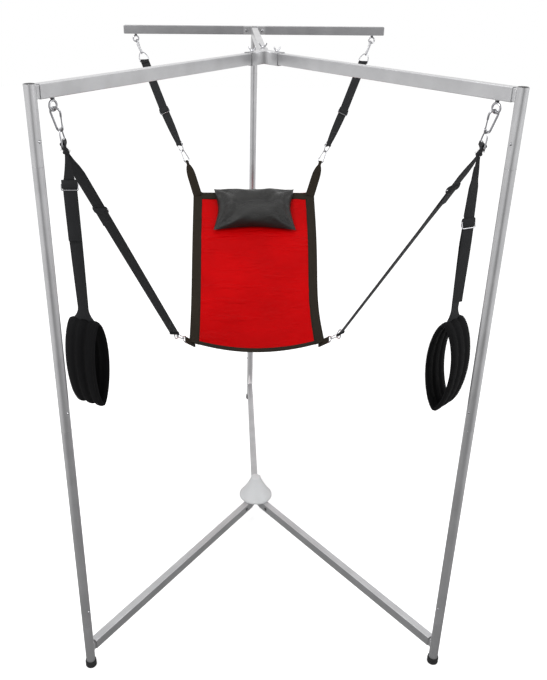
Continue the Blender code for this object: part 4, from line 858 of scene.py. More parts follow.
@dataclass
class Stand:
    """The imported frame: its nodes and the body that each rides on."""

    nodes: dict[str, bpy.types.Object]
    bodies: dict[str, str] = field(default_factory=dict)
    made: int = 0
    merge: float = 0.000005

    @classmethod
    def load(cls) -> "Stand":
        """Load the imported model."""
        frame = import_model()
        owners = {}
        for body, nodes in frame["record"]["behaviour"]["bodies"].items():
            owners.update({node: body for node in nodes})
        return cls(dict(frame["nodes"]), owners)

    def fit(
        self, piece: bpy.types.Object, node: str, stands_for: bool = True
    ) -> bpy.types.Object:
        """Make a piece ride with a node's body.

        Args:
            piece: The finished piece.
            node: The node whose body it rides on.
            stands_for: Whether it replaces the node.

        Returns:
            The piece.
        """
        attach(piece, self.bodies[node])
        if stands_for:
            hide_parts(node)
        self.made += 1
        LOG.info("%s rides on %s", piece.name, self.bodies[node])
        return piece

    def extra(
        self, form: Form, name: str, finish: Finish, node: str, angle: float = RAIL_ANGLE
    ) -> bpy.types.Object:
        """Make a form a piece of its own that rides with a node and doesn't stand for it."""
        return self.fit(form.piece(name, finish, angle), node, stands_for=False)

    def stitched(
        self, name: str, lines: Sequence[Facings], thread: Finish, node: str
    ) -> bpy.types.Object:
        """Set stitches along lines, as a piece that rides with a node and doesn't stand for it."""
        return self.fit(STITCHES.piece(name, lines, thread), node, stands_for=False)

    def carried(
        self, node: str, name: str, finish: Finish, angle: float
    ) -> bpy.types.Object:
        """Return a dressed copy of a node with its doubles merged and its corners smooth."""
        source = self.nodes[node]
        work = bmesh.new()
        work.from_mesh(source.data)
        bmesh.ops.remove_doubles(work, verts=work.verts, dist=self.merge)
        mesh = bpy.data.meshes.new(name)
        work.to_mesh(mesh)
        work.free()
        piece = weighted(as_piece(name, mesh, finish, angle))
        return self.fit(piece, node)


@dataclass
class TubeFrame:
    """Legs, rails, hubs and crossbar, with their weld beads, plugs and bolt heads."""

    leg_radius: float = 0.017
    leg_top: float = 2.14
    rail_width: float = 0.030
    stub_width: float = 0.0258
    stub_height: float = 0.0358
    top_height: float = 2.118
    bottom_height: float = 0.0925
    cross_y: float = 1.151
    cross_height: float = 2.123
    cross_bolt: float = 0.040
    low_bolt: float = 0.096
    seam_heights: tuple[float, float, float] = (0.21, 1.06, 1.92)
    seam_wire: float = 0.0005
    plug_gap: float = 0.0022
    bolt_height: float = 0.0036
    cross_bolt_head: float = 0.0062
    low_bolt_head: float = 0.0056

    def build(self, stand: Stand) -> None:
        """Dress every rigid node of the frame and add its small details."""
        for arm in Arm:
            for part in ("leg_head", "leg_upper", "leg_lower", "leg_base", "top_rail", "bottom_rail"):
                node = f"{part}_{arm.label}"
                angle = RAIL_ANGLE if part.endswith("rail") else TUBE_ANGLE
                stand.carried(node, f"{node}_tube", STEEL, angle)
            for level in ("low", "middle", "high"):
                node = f"button_{level}_{arm.label}"
                stand.carried(node, f"{node}_pin", ZINC, WIRE_ANGLE)
            self.plug(stand, arm)
            self.seams(stand, arm)
            self.beads(stand, arm)
            self.low_bolts(stand, arm)
        stand.carried("top_hub", "top_hub_sleeves", STEEL, RAIL_ANGLE)
        stand.carried("bottom_hub", "bottom_hub_post", STEEL, RAIL_ANGLE)
        for side in Side:
            node = f"crossbar_{side.label}"
            stand.carried(node, f"{node}_tube", DARK_STEEL, RAIL_ANGLE)
            self.cross_bolts(stand, side)

    def plug(self, stand: Stand, arm: Arm) -> None:
        """Add the dark plug in a leg's open top."""
        radius = self.leg_radius - self.plug_gap
        profile = [(radius, -0.004), (radius, 0.0), (radius - 0.0008, 0.0007)]
        profile += [(radius * 0.6, 0.0011), (0.001, 0.0012)]
        matrix = arm.matrix() @ Matrix.Translation((ARM_LENGTH, 0.0, self.leg_top))
        form = Form().lathe(profile, 40, matrix)
        stand.extra(form, f"leg_plug_{arm.label}", PLUG, f"leg_head_{arm.label}")

    def seams(self, stand: Stand, arm: Arm) -> None:
        """Add the dark shadow line at a leg's three seams."""
        form = Form()
        matrix = arm.matrix() @ Matrix.Translation((ARM_LENGTH, 0.0, 0.0))
        for height in self.seam_heights:
            form.wire(circle(self.leg_radius, 48, height), self.seam_wire, 6, True, matrix)
        stand.extra(form, f"leg_seams_{arm.label}", DARK_STEEL, f"leg_upper_{arm.label}")

    def stub_path(self, height: float) -> Facings:
        """Return the closed line where a rail's stub meets its leg, in the arm's frame."""
        steps = 7
        wide, tall = self.stub_width / 2, self.stub_height / 2
        ends = ((wide, tall), (-wide, tall), (-wide, -tall), (wide, -tall), (wide, tall))
        line = []
        for (x0, z0), (x1, z1) in zip(ends, ends[1:]):
            line += [(x0 + (x1 - x0) * (i / steps), z0 + (z1 - z0) * (i / steps)) for i in range(steps)]
        path = []
        for across, up in line + line[:1]:
            depth = math.sqrt(max(0.0, (self.leg_radius + 0.0004) ** 2 - across ** 2))
            facing = Vector((-1.0, across / wide * 1.2, up / tall * 0.6)).normalized()
            path.append((Vector((ARM_LENGTH - depth, across, height + up)), facing))
        return path

    def beads(self, stand: Stand, arm: Arm) -> None:
        """Add the weld beads round a leg's two stubs, in the lighter coat that paints their highlight."""
        matrix = arm.matrix()
        turn = matrix.to_3x3()
        for node, height in (("leg_head", self.top_height), ("leg_base", self.bottom_height)):
            path = [(matrix @ place, turn @ facing) for place, facing in self.stub_path(height)]
            piece = BEADS.piece(f"{node}_{arm.label}_weld", [path], WELD_HIGHLIGHT_COAT)
            stand.fit(piece, f"{node}_{arm.label}", stands_for=False)

    @staticmethod
    def head(radius: float, height: float, matrix: Matrix, form: Form) -> None:
        """Add a domed bolt head with a washer and a hex socket, facing +Z of the matrix."""
        washer = [(radius * 1.3, 0.0), (radius * 1.3, height * 0.2), (radius * 1.05, height * 0.28)]
        dome = [
            (radius * 1.02, height * 0.25), (radius * 1.02, height * 0.62), (radius * 0.88, height * 0.88),
            (radius * 0.62, height), (radius * 0.45, height), (radius * 0.42, height * 0.6),
        ]
        form.lathe(washer, 32, matrix)
        form.lathe(dome, 32, matrix)

    def cross_bolts(self, stand: Stand, side: Side) -> None:
        """Add the bright bolt heads of one crossbar half."""
        form = Form()
        for face in FACES:
            away = self.cross_y + HUB_Y + face * self.rail_width / 2
            place = Vector((side.value * self.cross_bolt, away, self.cross_height))
            matrix = frame_matrix(place, Vector((0.0, face, 0.0)), ACROSS)
            self.head(self.cross_bolt_head, self.bolt_height, matrix, form)
        stand.extra(form, f"crossbar_bolt_{side.label}", ZINC, f"crossbar_{side.label}")

    def low_bolts(self, stand: Stand, arm: Arm) -> None:
        """Add the dark bolt heads of one bottom rail."""
        form = Form()
        turn = arm.matrix()
        for face in FACES:
            place = turn @ Vector((self.low_bolt, face * self.rail_width / 2, self.bottom_height))
            out = turn.to_3x3() @ Vector((0.0, face, 0.0))
            self.head(self.low_bolt_head, self.bolt_height, frame_matrix(place, out, UP), form)
        name = f"bottom_rail_bolt_{arm.label}"
        stand.extra(form, name, DARK_ZINC, f"bottom_rail_{arm.label}")


@dataclass
class Foot:
    """A rubber foot: a cup with a rounded sole, a lip and two shallow grooves."""

    radius: float = 0.0208
    height: float = 0.029
    bore: float = 0.0173
    floor: float = 0.0057
    edge: float = 0.005
    groove: float = 0.0008
    groove_heights: tuple[float, float] = (0.011, 0.016)
    lip: float = 0.0235

    def build(self, stand: Stand) -> None:
        """Build the three feet."""
        outer = [(0.0012, 0.0)]
        for i in range(9):
            angle = math.pi / 2 * (1.0 - i / 8)
            reach = self.radius - self.edge + self.edge * math.cos(angle)
            outer.append((reach, self.edge - self.edge * math.sin(angle)))
        inner = self.radius - self.groove
        for low in self.groove_heights:
            outer += [(self.radius, low), (inner, low + 0.0006)]
            outer += [(inner, low + 0.0018), (self.radius, low + 0.0024)]
        neck = self.radius - 0.0006
        outer += [(self.radius, self.lip), (neck, self.lip + 0.001), (neck, self.height - 0.0010)]
        outer += [(self.radius - 0.0016, self.height), (self.bore, self.height), (self.bore, self.floor)]
        for arm in Arm:
            matrix = arm.matrix() @ Matrix.Translation((ARM_LENGTH, 0.0, 0.0))
            piece = Form().lathe(outer, 56, matrix).piece(f"foot_{arm.label}_rubber", RUBBER, 55.0)
            stand.fit(piece, f"foot_{arm.label}")


@dataclass
class Cover:
    """The pale conical cover over the bottom hub."""

    rim: float = 0.0775
    top_radius: float = 0.025
    top: float = 0.222
    wall: float = 0.0025
    low: float = 0.1128
    skirt: float = 0.008
    crown: float = 0.012
    bow: float = 0.004
    steps: int = 10

    def build(self, stand: Stand) -> None:
        """Build the cover as a thin turned shell."""
        top, wide, wall = self.top, self.top_radius, self.wall
        shoulder, ledge = top - self.crown, self.low + self.skirt
        outer = [(0.0010, top), (wide * 0.66, top), (wide * 0.80, top - 0.0008), (wide * 0.92, top - 0.0036)]
        outer.append((wide, shoulder))
        cone = []
        for i in range(1, self.steps):
            share = i / self.steps
            radius = wide + (self.rim - wide) * share - self.bow * math.sin(math.pi * share)
            cone.append((radius, shoulder + (ledge - shoulder) * share))
        outer += cone + [(self.rim - 0.0004, ledge + 0.0006), (self.rim, ledge - 0.001)]
        outer += [(self.rim, self.low + 0.0008), (self.rim - 0.0008, self.low)]
        inner = [(self.rim - wall, self.low), (self.rim - wall, ledge)]
        inner += [(radius - wall, height) for radius, height in cone[::-1]]
        inner += [(wide - wall, shoulder), (wide - 1.4 * wall, top - wall), (0.0010, top - wall)]
        matrix = Matrix.Translation((0.0, HUB_Y, 0.0))
        piece = Form().lathe(outer + inner, 96, matrix).piece("hub_cover_shell", COVER, 40.0)
        stand.fit(piece, "hub_cover")


@dataclass
class WingScrew:
    """A wing screw: threaded shank, boss and two raised wings with rounded edges."""

    distance: float = 0.078
    seat: float = 2.1414
    shank_radius: float = 0.003
    shank_length: float = 0.016
    boss_radius: float = 0.0065
    boss_height: float = 0.008
    span: float = 0.034
    rise: float = 0.018
    thickness: float = 0.0024
    threads: int = 12

    def build(self, stand: Stand) -> None:
        """Build the three wing screws."""
        for arm in Arm:
            matrix = arm.matrix() @ Matrix.Translation((self.distance, 0.0, self.seat))
            matrix = matrix @ Matrix.Rotation(math.pi / 2, 4, "Z")
            form = Form()
            form.lathe(self.shank(), 24, matrix)
            for turn in (0.0, math.pi):
                self.wing(form, matrix @ Matrix.Rotation(turn, 4, "Z"))
            piece = form.piece(f"wing_screw_{arm.label}_body", ZINC, WIRE_ANGLE)
            stand.fit(piece, f"wing_screw_{arm.label}")

    def shank(self) -> Profile:
        """Return the profile of the boss and the threaded shank."""
        boss, top, outer = self.boss_radius, self.boss_height, self.shank_radius
        root = outer * 0.86
        profile = [(0.0008, top), (boss * 0.62, top), (boss * 0.74, top - 0.0008), (boss, 0.0006)]
        profile += [(boss * 0.96, 0.0), (root, 0.0)]
        pitch = self.shank_length / self.threads
        for i in range(self.threads):
            low = -self.shank_length * (i + 1) / self.threads
            profile += [(outer, low + pitch / 2), (root, low)]
        profile.append((0.0006, -self.shank_length))
        return profile

    def wing(self, form: Form, matrix: Matrix) -> None:
        """Add one wing as a lofted rounded plate."""
        span, rise, boss = self.span, self.rise, self.boss_height
        low = [(0.002, 0.0012), (span * 0.22, 0.0018), (span * 0.40, rise * 0.48), (span * 0.50, rise * 0.86)]
        high = [(0.002, boss * 0.95), (span * 0.16, boss * 0.98)]
        high += [(span * 0.29, rise * 0.82), (span * 0.41, rise)]
        rings = []
        steps = sides = 12
        for i in range(steps + 1):
            first, second = self.along(low, i / steps), self.along(high, i / steps)
            half = self.thickness / 2 * (1.0 if i < steps else 0.4)
            middle = (first + second) / 2
            reach = (second - first) / 2 * (1.0 if i < steps else 0.8)
            ring = []
            for j in range(sides):
                angle = math.tau * j / sides
                out = Vector((0.0, half * math.sin(angle), 0.0))
                ring.append(middle + reach * bowed(math.cos(angle), 0.5) + out)
            rings.append(ring)
        form.loft(rings, matrix=matrix)

    @staticmethod
    def along(points: Profile, share: float) -> Vector:
        """Return the point at a share of a smooth line through four (x, z) points."""
        a, b, c, d = (Vector((x, 0.0, z)) for x, z in points)
        if share < 1 / 3:
            return a.lerp(b, share * 3)
        if share < 2 / 3:
            return b.lerp(c, share * 3 - 1)
        return c.lerp(d, share * 3 - 2)


# Links


@dataclass(frozen=True)
class Link:
    """A place on the link chain: the top of a hook or ring, the way it hangs and its plane."""

    top: Vector
    down: Vector
    across: Vector


@dataclass
class Rigging:
    """Where the eyes, hooks and rings of the chain lie, from the stand's sizes."""

    eye_radius: float = 0.0135
    eye_wire: float = 0.0035
    eye_drop: float = 0.023
    eye_sides: int = 12
    hook_length: float = 0.080
    hook_wire: float = 0.0035
    ring_wire: float = 0.0025
    ring_length: float = 0.046
    low_ring_length: float = 0.044
    tab_ring_length: float = 0.025
    end_ring_length: float = 0.028
    tab_reach: float = 0.027
    loop_bend: float = 0.009
    low_scale: float = 0.90
    corner_scale: float = 0.60
    front_eye: tuple[float, float] = (1.045, 2.075)
    rear_eye: tuple[float, float, float] = (0.597, 1.151, 2.080)
    rear_eye_turn: float = 10.0
    front_turn: float = 78.0
    rear_turn: float = 25.0
    fork_place: tuple[float, float, float] = (0.600, -0.795, 1.935)
    slide_place: tuple[float, float, float] = (0.458, 1.027, 1.749)
    end_place: tuple[float, float, float] = (0.382, 0.965, 1.590)
    low_aim: tuple[float, float, float] = (0.334, 0.928, 1.496)
    tab_aim: tuple[float, float, float] = (0.386, 0.076, 0.950)
    seat_top: tuple[float, float, float] = (0.0, 0.878, 1.362)
    seat_bottom: tuple[float, float, float] = (0.0, 0.142, 0.868)
    seat_half: float = 0.310

    @staticmethod
    def at(x: float, y: float, z: float, side: Side) -> Vector:
        """Return a place given for the right-hand side from the hub's axis, mirrored for the left."""
        return Vector((x * side.value, y + HUB_Y, z))

    def fork(self, side: Side) -> Vector:
        """Return where a front strap divides."""
        return self.at(*self.fork_place, side)

    def head_slide(self, side: Side) -> Vector:
        """Return the place of a head strap's slide."""
        return self.at(*self.slide_place, side)

    def head_end(self, side: Side) -> Vector:
        """Return the lower end of a head strap."""
        return self.at(*self.end_place, side)

    def low_direction(self, side: Side) -> Vector:
        """Return the way that the lower ring and hook hang."""
        return (self.at(*self.low_aim, side) - self.head_end(side)).normalized()

    @staticmethod
    def arm_angle(side: Side) -> float:
        """Return the angle in plan of a side's front arm, in radians."""
        return math.radians((Arm.LEFT if side is Side.LEFT else Arm.RIGHT).value)

    def facing(self, front: bool, side: Side) -> Vector:
        """Return the level direction of an eye's axis."""
        if front:
            angle = self.arm_angle(side)
            return Vector((-math.sin(angle), math.cos(angle), 0.0))
        return azimuth(math.radians(side.value * self.rear_eye_turn))

    def eye(self, front: bool, side: Side) -> Vector:
        """Return the centre of an eye's ring."""
        if front:
            angle = self.arm_angle(side)
            reach, height = self.front_eye
            return Vector((reach * math.cos(angle), reach * math.sin(angle) + HUB_Y, height))
        return self.at(*self.rear_eye, side)

    def seat_on_eye(self, front: bool, side: Side, target: Vector) -> Vector:
        """Return where a hook's bow rests in an eye when it pulls towards a target."""
        centre, facing = self.eye(front, side), self.facing(front, side)
        pull = target - centre
        pull = (pull - facing * pull.dot(facing)).normalized()
        wire = centre + pull * (self.eye_radius * math.cos(math.pi / self.eye_sides))
        return wire - (target - wire).normalized() * (self.eye_wire + self.hook_wire + GAP)

    def front_hook(self, side: Side) -> Link:
        """Return the place of a front hook."""
        top = self.seat_on_eye(True, side, self.fork(side))
        across = azimuth(side.value * math.radians(self.front_turn))
        return Link(top, (self.fork(side) - top).normalized(), across)

    def rear_hook(self, side: Side) -> Link:
        """Return the place of a rear hook."""
        top = self.seat_on_eye(False, side, self.head_slide(side))
        across = azimuth(side.value * math.radians(self.rear_turn))
        return Link(top, (self.head_slide(side) - top).normalized(), across)

    def low_hook(self, side: Side) -> Link:
        """Return the place of a lower hook: its wide bow at the foot, running upwards."""
        down = self.low_direction(side)
        bow = self.head_end(side) + down * (self.low_ring_length - 2 * self.ring_wire)
        wire = self.hook_wire * self.low_scale
        top = bow - down * (self.ring_wire + wire + GAP)
        foot = top + down * (self.hook_length * self.low_scale - 2 * wire)
        return Link(foot, -down, ACROSS.copy())

    def seat_axes(self) -> tuple[Vector, Vector, Vector, float]:
        """Return the seat's top middle, its downward direction, its upper normal and its length."""
        top, bottom = self.at(*self.seat_top, Side.RIGHT), self.at(*self.seat_bottom, Side.RIGHT)
        down = (bottom - top).normalized()
        return top, down, turned_to(ACROSS.cross(down).normalized(), UP), (bottom - top).length

    def seat_corner(self, side: Side) -> tuple[Vector, Vector, Vector]:
        """Return a lower seat corner, the way its tab pulls and the tab's width direction."""
        top, down, normal, length = self.seat_axes()
        corner = top + down * length + ACROSS * (side.value * self.seat_half)
        pull = (self.at(*self.tab_aim, side) - corner).normalized()
        return corner, pull, pull.cross(normal).normalized()

    def tab_bow(self, side: Side) -> Vector:
        """Return the outer bow of a tab's ring."""
        corner, pull, _ = self.seat_corner(side)
        return corner + pull * (self.tab_reach + self.tab_ring_length - 2 * self.ring_wire)

    def corner_hook(self, side: Side) -> Link:
        """Return the place of a seat corner's hook."""
        _, pull, across = self.seat_corner(side)
        wire = self.hook_wire * self.corner_scale
        foot = self.tab_bow(side) - pull * (self.ring_wire + wire + GAP)
        top = foot + pull * (self.hook_length * self.corner_scale - 2 * wire)
        return Link(top, -pull, pull.cross(across))

    def end_ring(self, side: Side) -> Link:
        """Return the place of a front strap's end ring: its bow, the way it runs and its width."""
        hook = self.corner_hook(side)
        _, _, across = self.seat_corner(side)
        bow = hook.top + hook.down * (self.ring_wire + self.hook_wire * self.corner_scale + GAP)
        return Link(bow, -hook.down, across)

    def strap_end(self, side: Side) -> Vector:
        """Return where a front strap meets its end ring's bar."""
        ring = self.end_ring(side)
        return ring.top + ring.down * (self.end_ring_length - BAR_INSET)

    def under_hook(self, hook: Link) -> Vector:
        """Return the top of the ring that hangs in a full-size hook."""
        end = hook.top + hook.down * (self.hook_length - 2 * self.hook_wire)
        return end - hook.down * (self.hook_wire + self.ring_wire + GAP)


@dataclass
class EyeBolts:
    """Four eye bolts: collar, dark nut, neck and ring."""

    shank: float = 0.0035
    length: float = 0.012
    collar: float = 0.0065

    def build(self, stand: Stand, rig: Rigging) -> None:
        """Build the eye bolts."""
        for front in (True, False):
            for side in Side:
                name = f"eye_bolt_{'front' if front else 'rear'}_{side.label}"
                centre, facing = rig.eye(front, side), rig.facing(front, side)
                matrix = frame_matrix(centre + UP * rig.eye_drop, UP, facing.cross(UP))
                form = Form()
                form.lathe(self.profile(rig), 28, matrix)
                level = circle(rig.eye_radius, 48)
                ring = [Vector((place.x, 0.0, place.y - rig.eye_drop)) for place in level]
                form.wire(ring, rig.eye_wire, 16, True, matrix)
                stand.fit(form.piece(f"{name}_ring", ZINC, WIRE_ANGLE), name)
                self.nut(stand, name, matrix)

    def profile(self, rig: Rigging) -> Profile:
        """Return the profile of the shank and the collar."""
        low = -rig.eye_drop + rig.eye_radius
        return [
            (0.0006, self.length), (self.shank * 0.9, self.length), (self.shank, self.length - 0.0006),
            (self.shank, -GAP), (self.collar, -GAP), (self.collar, -0.0018), (self.collar * 0.85, -0.0023),
            (self.shank, -0.0043), (self.shank, low), (0.0006, low),
        ]

    def nut(self, stand: Stand, name: str, matrix: Matrix) -> None:
        """Add the dark hex nut between collar and ring."""
        profile = [(0.0058, -0.0022), (0.0064, -0.0028), (0.0064, -0.0060), (0.0058, -0.0066)]
        stand.extra(Form().lathe(profile, 6, matrix), f"{name}_nut", DARK_ZINC, name, 20.0)


@dataclass
class SnapHook:
    """A pear-shaped snap hook of round wire with a sprung gate on one straight side."""

    length: float = 0.080
    wide: float = 0.0145
    narrow: float = 0.0085
    wire: float = 0.0035
    gate_wire: float = 0.0025
    gate_length: float = 0.030
    gate_start: float = 0.30
    rivet_share: float = 0.62
    count: int = 56

    def outline(self, scale: float) -> tuple[list[Vector], int]:
        """Return the pear's wire line, its wide bow's top at the origin, and half its count."""
        wide, narrow = self.wide * scale, self.narrow * scale
        run = (self.length - 2 * self.wire) * scale - wide - narrow
        lean = math.asin((wide - narrow) / run)
        half = self.count // 2
        points = []
        for i in range(half + 1):
            angle = -lean + (math.pi + 2 * lean) * i / half
            points.append(Vector((wide * math.cos(angle), 0.0, -wide + wide * math.sin(angle))))
        for i in range(half + 1):
            angle = math.pi + lean + (math.pi - 2 * lean) * i / half
            points.append(Vector((narrow * math.cos(angle), 0.0, -wide - run + narrow * math.sin(angle))))
        return points, half

    def build(self, stand: Stand, name: str, link: Link, scale: float = 1.0, gate_node: str = "") -> None:
        """Build one hook.

        Args:
            stand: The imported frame.
            name: The hook's node.
            link: Where it hangs.
            scale: Its size against the full-size hook.
            gate_node: The gate's node where the gate is a node of its own.
        """
        matrix = frame_matrix(link.top, -link.down, link.across)
        points, half = self.outline(scale)
        upper, lower = points[half], points[half + 1]
        way = (lower - upper).normalized()
        run = (lower - upper).length
        start = upper + way * (run * self.gate_start - self.gate_wire * scale)
        stop = upper + way * (run * self.gate_start + self.gate_length * scale)
        first = spread(stop, lower, 4)[:-1] + points[half + 1:]
        last = points[:half + 1] + spread(upper, start, 4)[1:]
        wire = self.wire * scale
        bow = [first[-1].lerp(points[0], i / 6) for i in range(1, 6)]
        form = Form()
        form.wire(first + bow + last, wire, 16, matrix=matrix)
        pivot = stop - way * (self.gate_wire * scale + 2 * GAP)
        nose = start + way * 2 * GAP
        self.rivet(form, pivot, way, scale, matrix)
        stand.fit(form.piece(f"{name}_wire", ZINC, WIRE_ANGLE), name)
        gate, slim = Form(), self.gate_wire * scale
        line = [pivot.lerp(nose, i / 12) for i in range(12)]
        line.append(nose - (nose - pivot).normalized() * slim * 0.4)
        gate.wire(line, lambda share: slim * (0.97 - 0.12 * math.sin(math.pi * share)), 16, matrix=matrix)
        piece = gate.piece(f"{name}_gate", ZINC, WIRE_ANGLE)
        stand.fit(piece, gate_node or name, stands_for=bool(gate_node))

    def rivet(self, form: Form, pivot: Vector, way: Vector, scale: float, matrix: Matrix) -> None:
        """Add the two lugs beside a gate's pivot."""
        wire = self.wire * scale
        size = wire * self.rivet_share
        profile = [(size, -0.0003 * scale), (size, 0.0006 * scale), (size * 0.6, 0.0011 * scale)]
        for face in FACES:
            place = pivot + Vector((0.0, face * wire * 0.80, 0.0)) + way * wire * 0.5
            form.lathe(profile, 16, matrix @ frame_matrix(place, Vector((0.0, face, 0.0)), way))


@dataclass
class DRing:
    """A D-shaped ring of round wire: an arched bow and a straight bar."""

    wire: float = 0.0025
    count: int = 36

    def add(self, form: Form, link: Link, width: float, length: float) -> None:
        """Add one ring to a form.

        Args:
            form: The form that takes the ring.
            link: The bow's place, the way to the bar and the bar's direction.
            width: The ring's width between wire middles.
            length: The ring's outer length.
        """
        matrix = frame_matrix(link.top, -link.down, link.across)
        reach = length - self.wire
        points = []
        for i in range(self.count + 1):
            angle = math.pi * i / self.count
            points.append(Vector((width / 2 * math.cos(angle), 0.0, reach * (math.sin(angle) - 1.0))))
        points += [points[-1].lerp(points[0], i / 10) for i in range(1, 10)]
        form.wire(points, self.wire, 14, True, matrix)


@dataclass
class Slide:
    """A wire slide with the webbing folded over it."""

    length: float = 0.026
    thickness: float = 0.018
    wire: float = 0.0020
    margin: float = 0.0032
    lift: float = 0.0060
    drop: float = 0.62
    bend: float = 0.0035
    steps: int = 14
    sides: int = 20

    def add(
        self, web: Form, metal: Form, point: Vector, tangent: Vector, across: Vector, width: float
    ) -> None:
        """Add a folded bump of webbing and its wire frame.

        Args:
            web: The form that takes the fold.
            metal: The form that takes the wire.
            point: The slide's place on the strap.
            tangent: The way along the strap.
            across: The strap's width direction.
            width: The strap's width.
        """
        matrix = frame_matrix(point, tangent, across)
        if matrix.col[1].y > 0.0:
            matrix = frame_matrix(point, tangent, -across)
        full = width + 2 * self.margin
        rings = []
        for i in range(self.steps + 1):
            share = i / self.steps - 0.5
            swell = 0.34 + 0.66 * math.sqrt(max(0.0, math.cos(math.pi * share * 0.93))) * (1.0 - 0.25 * share)
            height = self.thickness * swell / 2
            ring = []
            for j in range(self.sides):
                angle = math.tau * j / self.sides
                x, y = full / 2 * bowed(math.cos(angle), 0.35), height * bowed(math.sin(angle), 0.8)
                ring.append(Vector((x, y, self.length * share)))
            rings.append(ring)
        web.loft(rings, matrix=matrix)
        reach = full / 2 + self.wire / 2
        high, low = -self.length * self.drop, self.length * 0.10
        places = ((reach, 0.0, low), (reach, self.lift, high), (-reach, self.lift, high), (-reach, 0.0, low))
        bends = [Vector(place) for place in places]
        path = []
        for i, here in enumerate(bends):
            first = here + (bends[i - 1] - here).normalized() * self.bend
            last = here + (bends[(i + 1) % 4] - here).normalized() * self.bend
            for share in (0.0, 0.25, 0.5, 0.75, 1.0):
                path.append(first.lerp(here, share).lerp(here.lerp(last, share), share))
        metal.wire(path, self.wire, 12, True, matrix)


# The sling


def sew(stand: Stand, node: str, web: Form, metal: Form) -> None:
    """Make a strap's webbing stand for its node, with its metal beside it."""
    stand.fit(web.piece(f"{node}_webbing", STRAP_WEB, WIRE_ANGLE), node)
    stand.extra(metal, f"{node}_metal", ZINC, node, WIRE_ANGLE)


@dataclass
class HeadStraps:
    """The two head straps with their rings, slides, sewn ends and hooks."""

    width: float = 0.042
    thickness: float = 0.0026
    upper_turn: float = 100.0
    lower_turn: float = 40.0
    twist: float = 2.2
    steps: int = 16
    ring_width: float = 0.046
    ring_wire: float = 0.0025
    box_margin: float = 0.004

    def build(self, stand: Stand, rig: Rigging, hook: SnapHook) -> None:
        """Build both head straps and the hooks at their ends."""
        for side in Side:
            hook.build(stand, f"snap_hook_rear_{side.label}", rig.rear_hook(side))
            hook.build(stand, f"snap_hook_seat_top_{side.label}", rig.low_hook(side), rig.low_scale)
            self.strap(stand, rig, side)

    def strap(self, stand: Stand, rig: Rigging, side: Side) -> None:
        """Build one head strap."""
        node = f"head_strap_{side.label}"
        upper, lower = (math.radians(side.value * turn) for turn in (self.upper_turn, self.lower_turn))
        slide, end = rig.head_slide(side), rig.head_end(side)
        ring_top = rig.under_hook(rig.rear_hook(side))
        ring_down = (slide - ring_top).normalized()
        bar = ring_top + ring_down * (rig.ring_length - BAR_INSET)
        half = self.steps + 1
        points = spread(bar, slide, half) + spread(slide, end, half)[1:]
        shares = (i / (len(points) - 1) for i in range(len(points)))
        across = [azimuth(upper + (lower - upper) * share ** self.twist) for share in shares]
        web, metal = Form(), Form()
        web.ribbon(points, across, self.width, self.thickness)
        toward = (CAMERA_WAY + UP * 0.25).normalized()
        doubled = []
        for point, way in zip(points[2:half], across[2:half]):
            normal = turned_to(way.cross(ring_down).normalized(), toward)
            doubled.append(point + normal * (self.thickness + GAP))
        web.ribbon(doubled, across[2:half], self.width * 0.97, self.thickness)
        ring = DRing()
        ring.add(metal, Link(ring_top, ring_down, azimuth(upper)), self.ring_width, rig.ring_length)
        back = (slide - end).normalized()
        Slide().add(web, metal, slide, back, across[self.steps], self.width)
        low_down = rig.low_direction(side)
        low_bow = end + low_down * (rig.low_ring_length - 2 * rig.ring_wire)
        ring.add(metal, Link(low_bow, -low_down, azimuth(lower)), self.ring_width, rig.low_ring_length)
        self.wrap(web, bar, ring_down, across[0])
        self.wrap(web, end - back * 0.002, back, across[-1])
        stitches = []
        for face in FACES:
            for first, last in ((26, 31), (3, 6)):
                stitches += self.bars(points, across, first, last, face * (self.thickness / 2 + STITCH_LIFT))
        sew(stand, node, web, metal)
        stand.stitched(f"{node}_stitches", stitches, GREY_THREAD, node)

    def wrap(self, web: Form, bar: Vector, run: Vector, across: Vector) -> None:
        """Wrap the webbing half round a ring's bar."""
        normal = across.cross(run).normalized()
        radius = self.ring_wire + self.thickness / 2 + GAP
        path = []
        for i in range(11):
            angle = math.pi * i / 10
            path.append(bar + normal * (radius * math.cos(angle)) - run * (radius * math.sin(angle) - 0.001))
        path = [path[0] + run * 0.012] + path + [path[-1] + run * 0.012]
        web.ribbon(path, [across] * len(path), self.width * 0.98, self.thickness)

    def bars(self, points: Ring, across: Ring, first: int, last: int, lift: float) -> list[Facings]:
        """Return a box of stitches with a cross in it, over part of a strap.

        Args:
            points: The strap's middle line.
            across: Its width direction at each point.
            first: Where the box starts.
            last: Where the box ends.
            lift: How far the stitches lie from the middle, signed by the face.

        Returns:
            The paths of the box and its cross.
        """
        reach = self.width / 2 - self.box_margin

        def at(index: float, share: float) -> tuple[Vector, Vector]:
            """Return the stitch at a station and a share of the half width."""
            low = min(int(index), len(points) - 2)
            part = index - low
            point = points[low].lerp(points[low + 1], part)
            way = across[low].lerp(across[low + 1], part).normalized()
            run = (points[low + 1] - points[low]).normalized()
            normal = run.cross(way).normalized()
            return point + way * (reach * share) + normal * lift, normal * math.copysign(1.0, lift)

        corners = [(first, -1.0), (last, -1.0), (last, 1.0), (first, 1.0), (first, -1.0)]
        box = []
        for (a, b), (c, d) in zip(corners, corners[1:]):
            box += [at(a + (c - a) * i / 6, b + (d - b) * i / 6) for i in range(6)]
        box.append(at(first, -1.0))
        paths = [box]
        for way in FACES:
            paths.append([at(first + (last - first) * i / 8, way * (1.0 - 2.0 * i / 8)) for i in range(9)])
        return paths


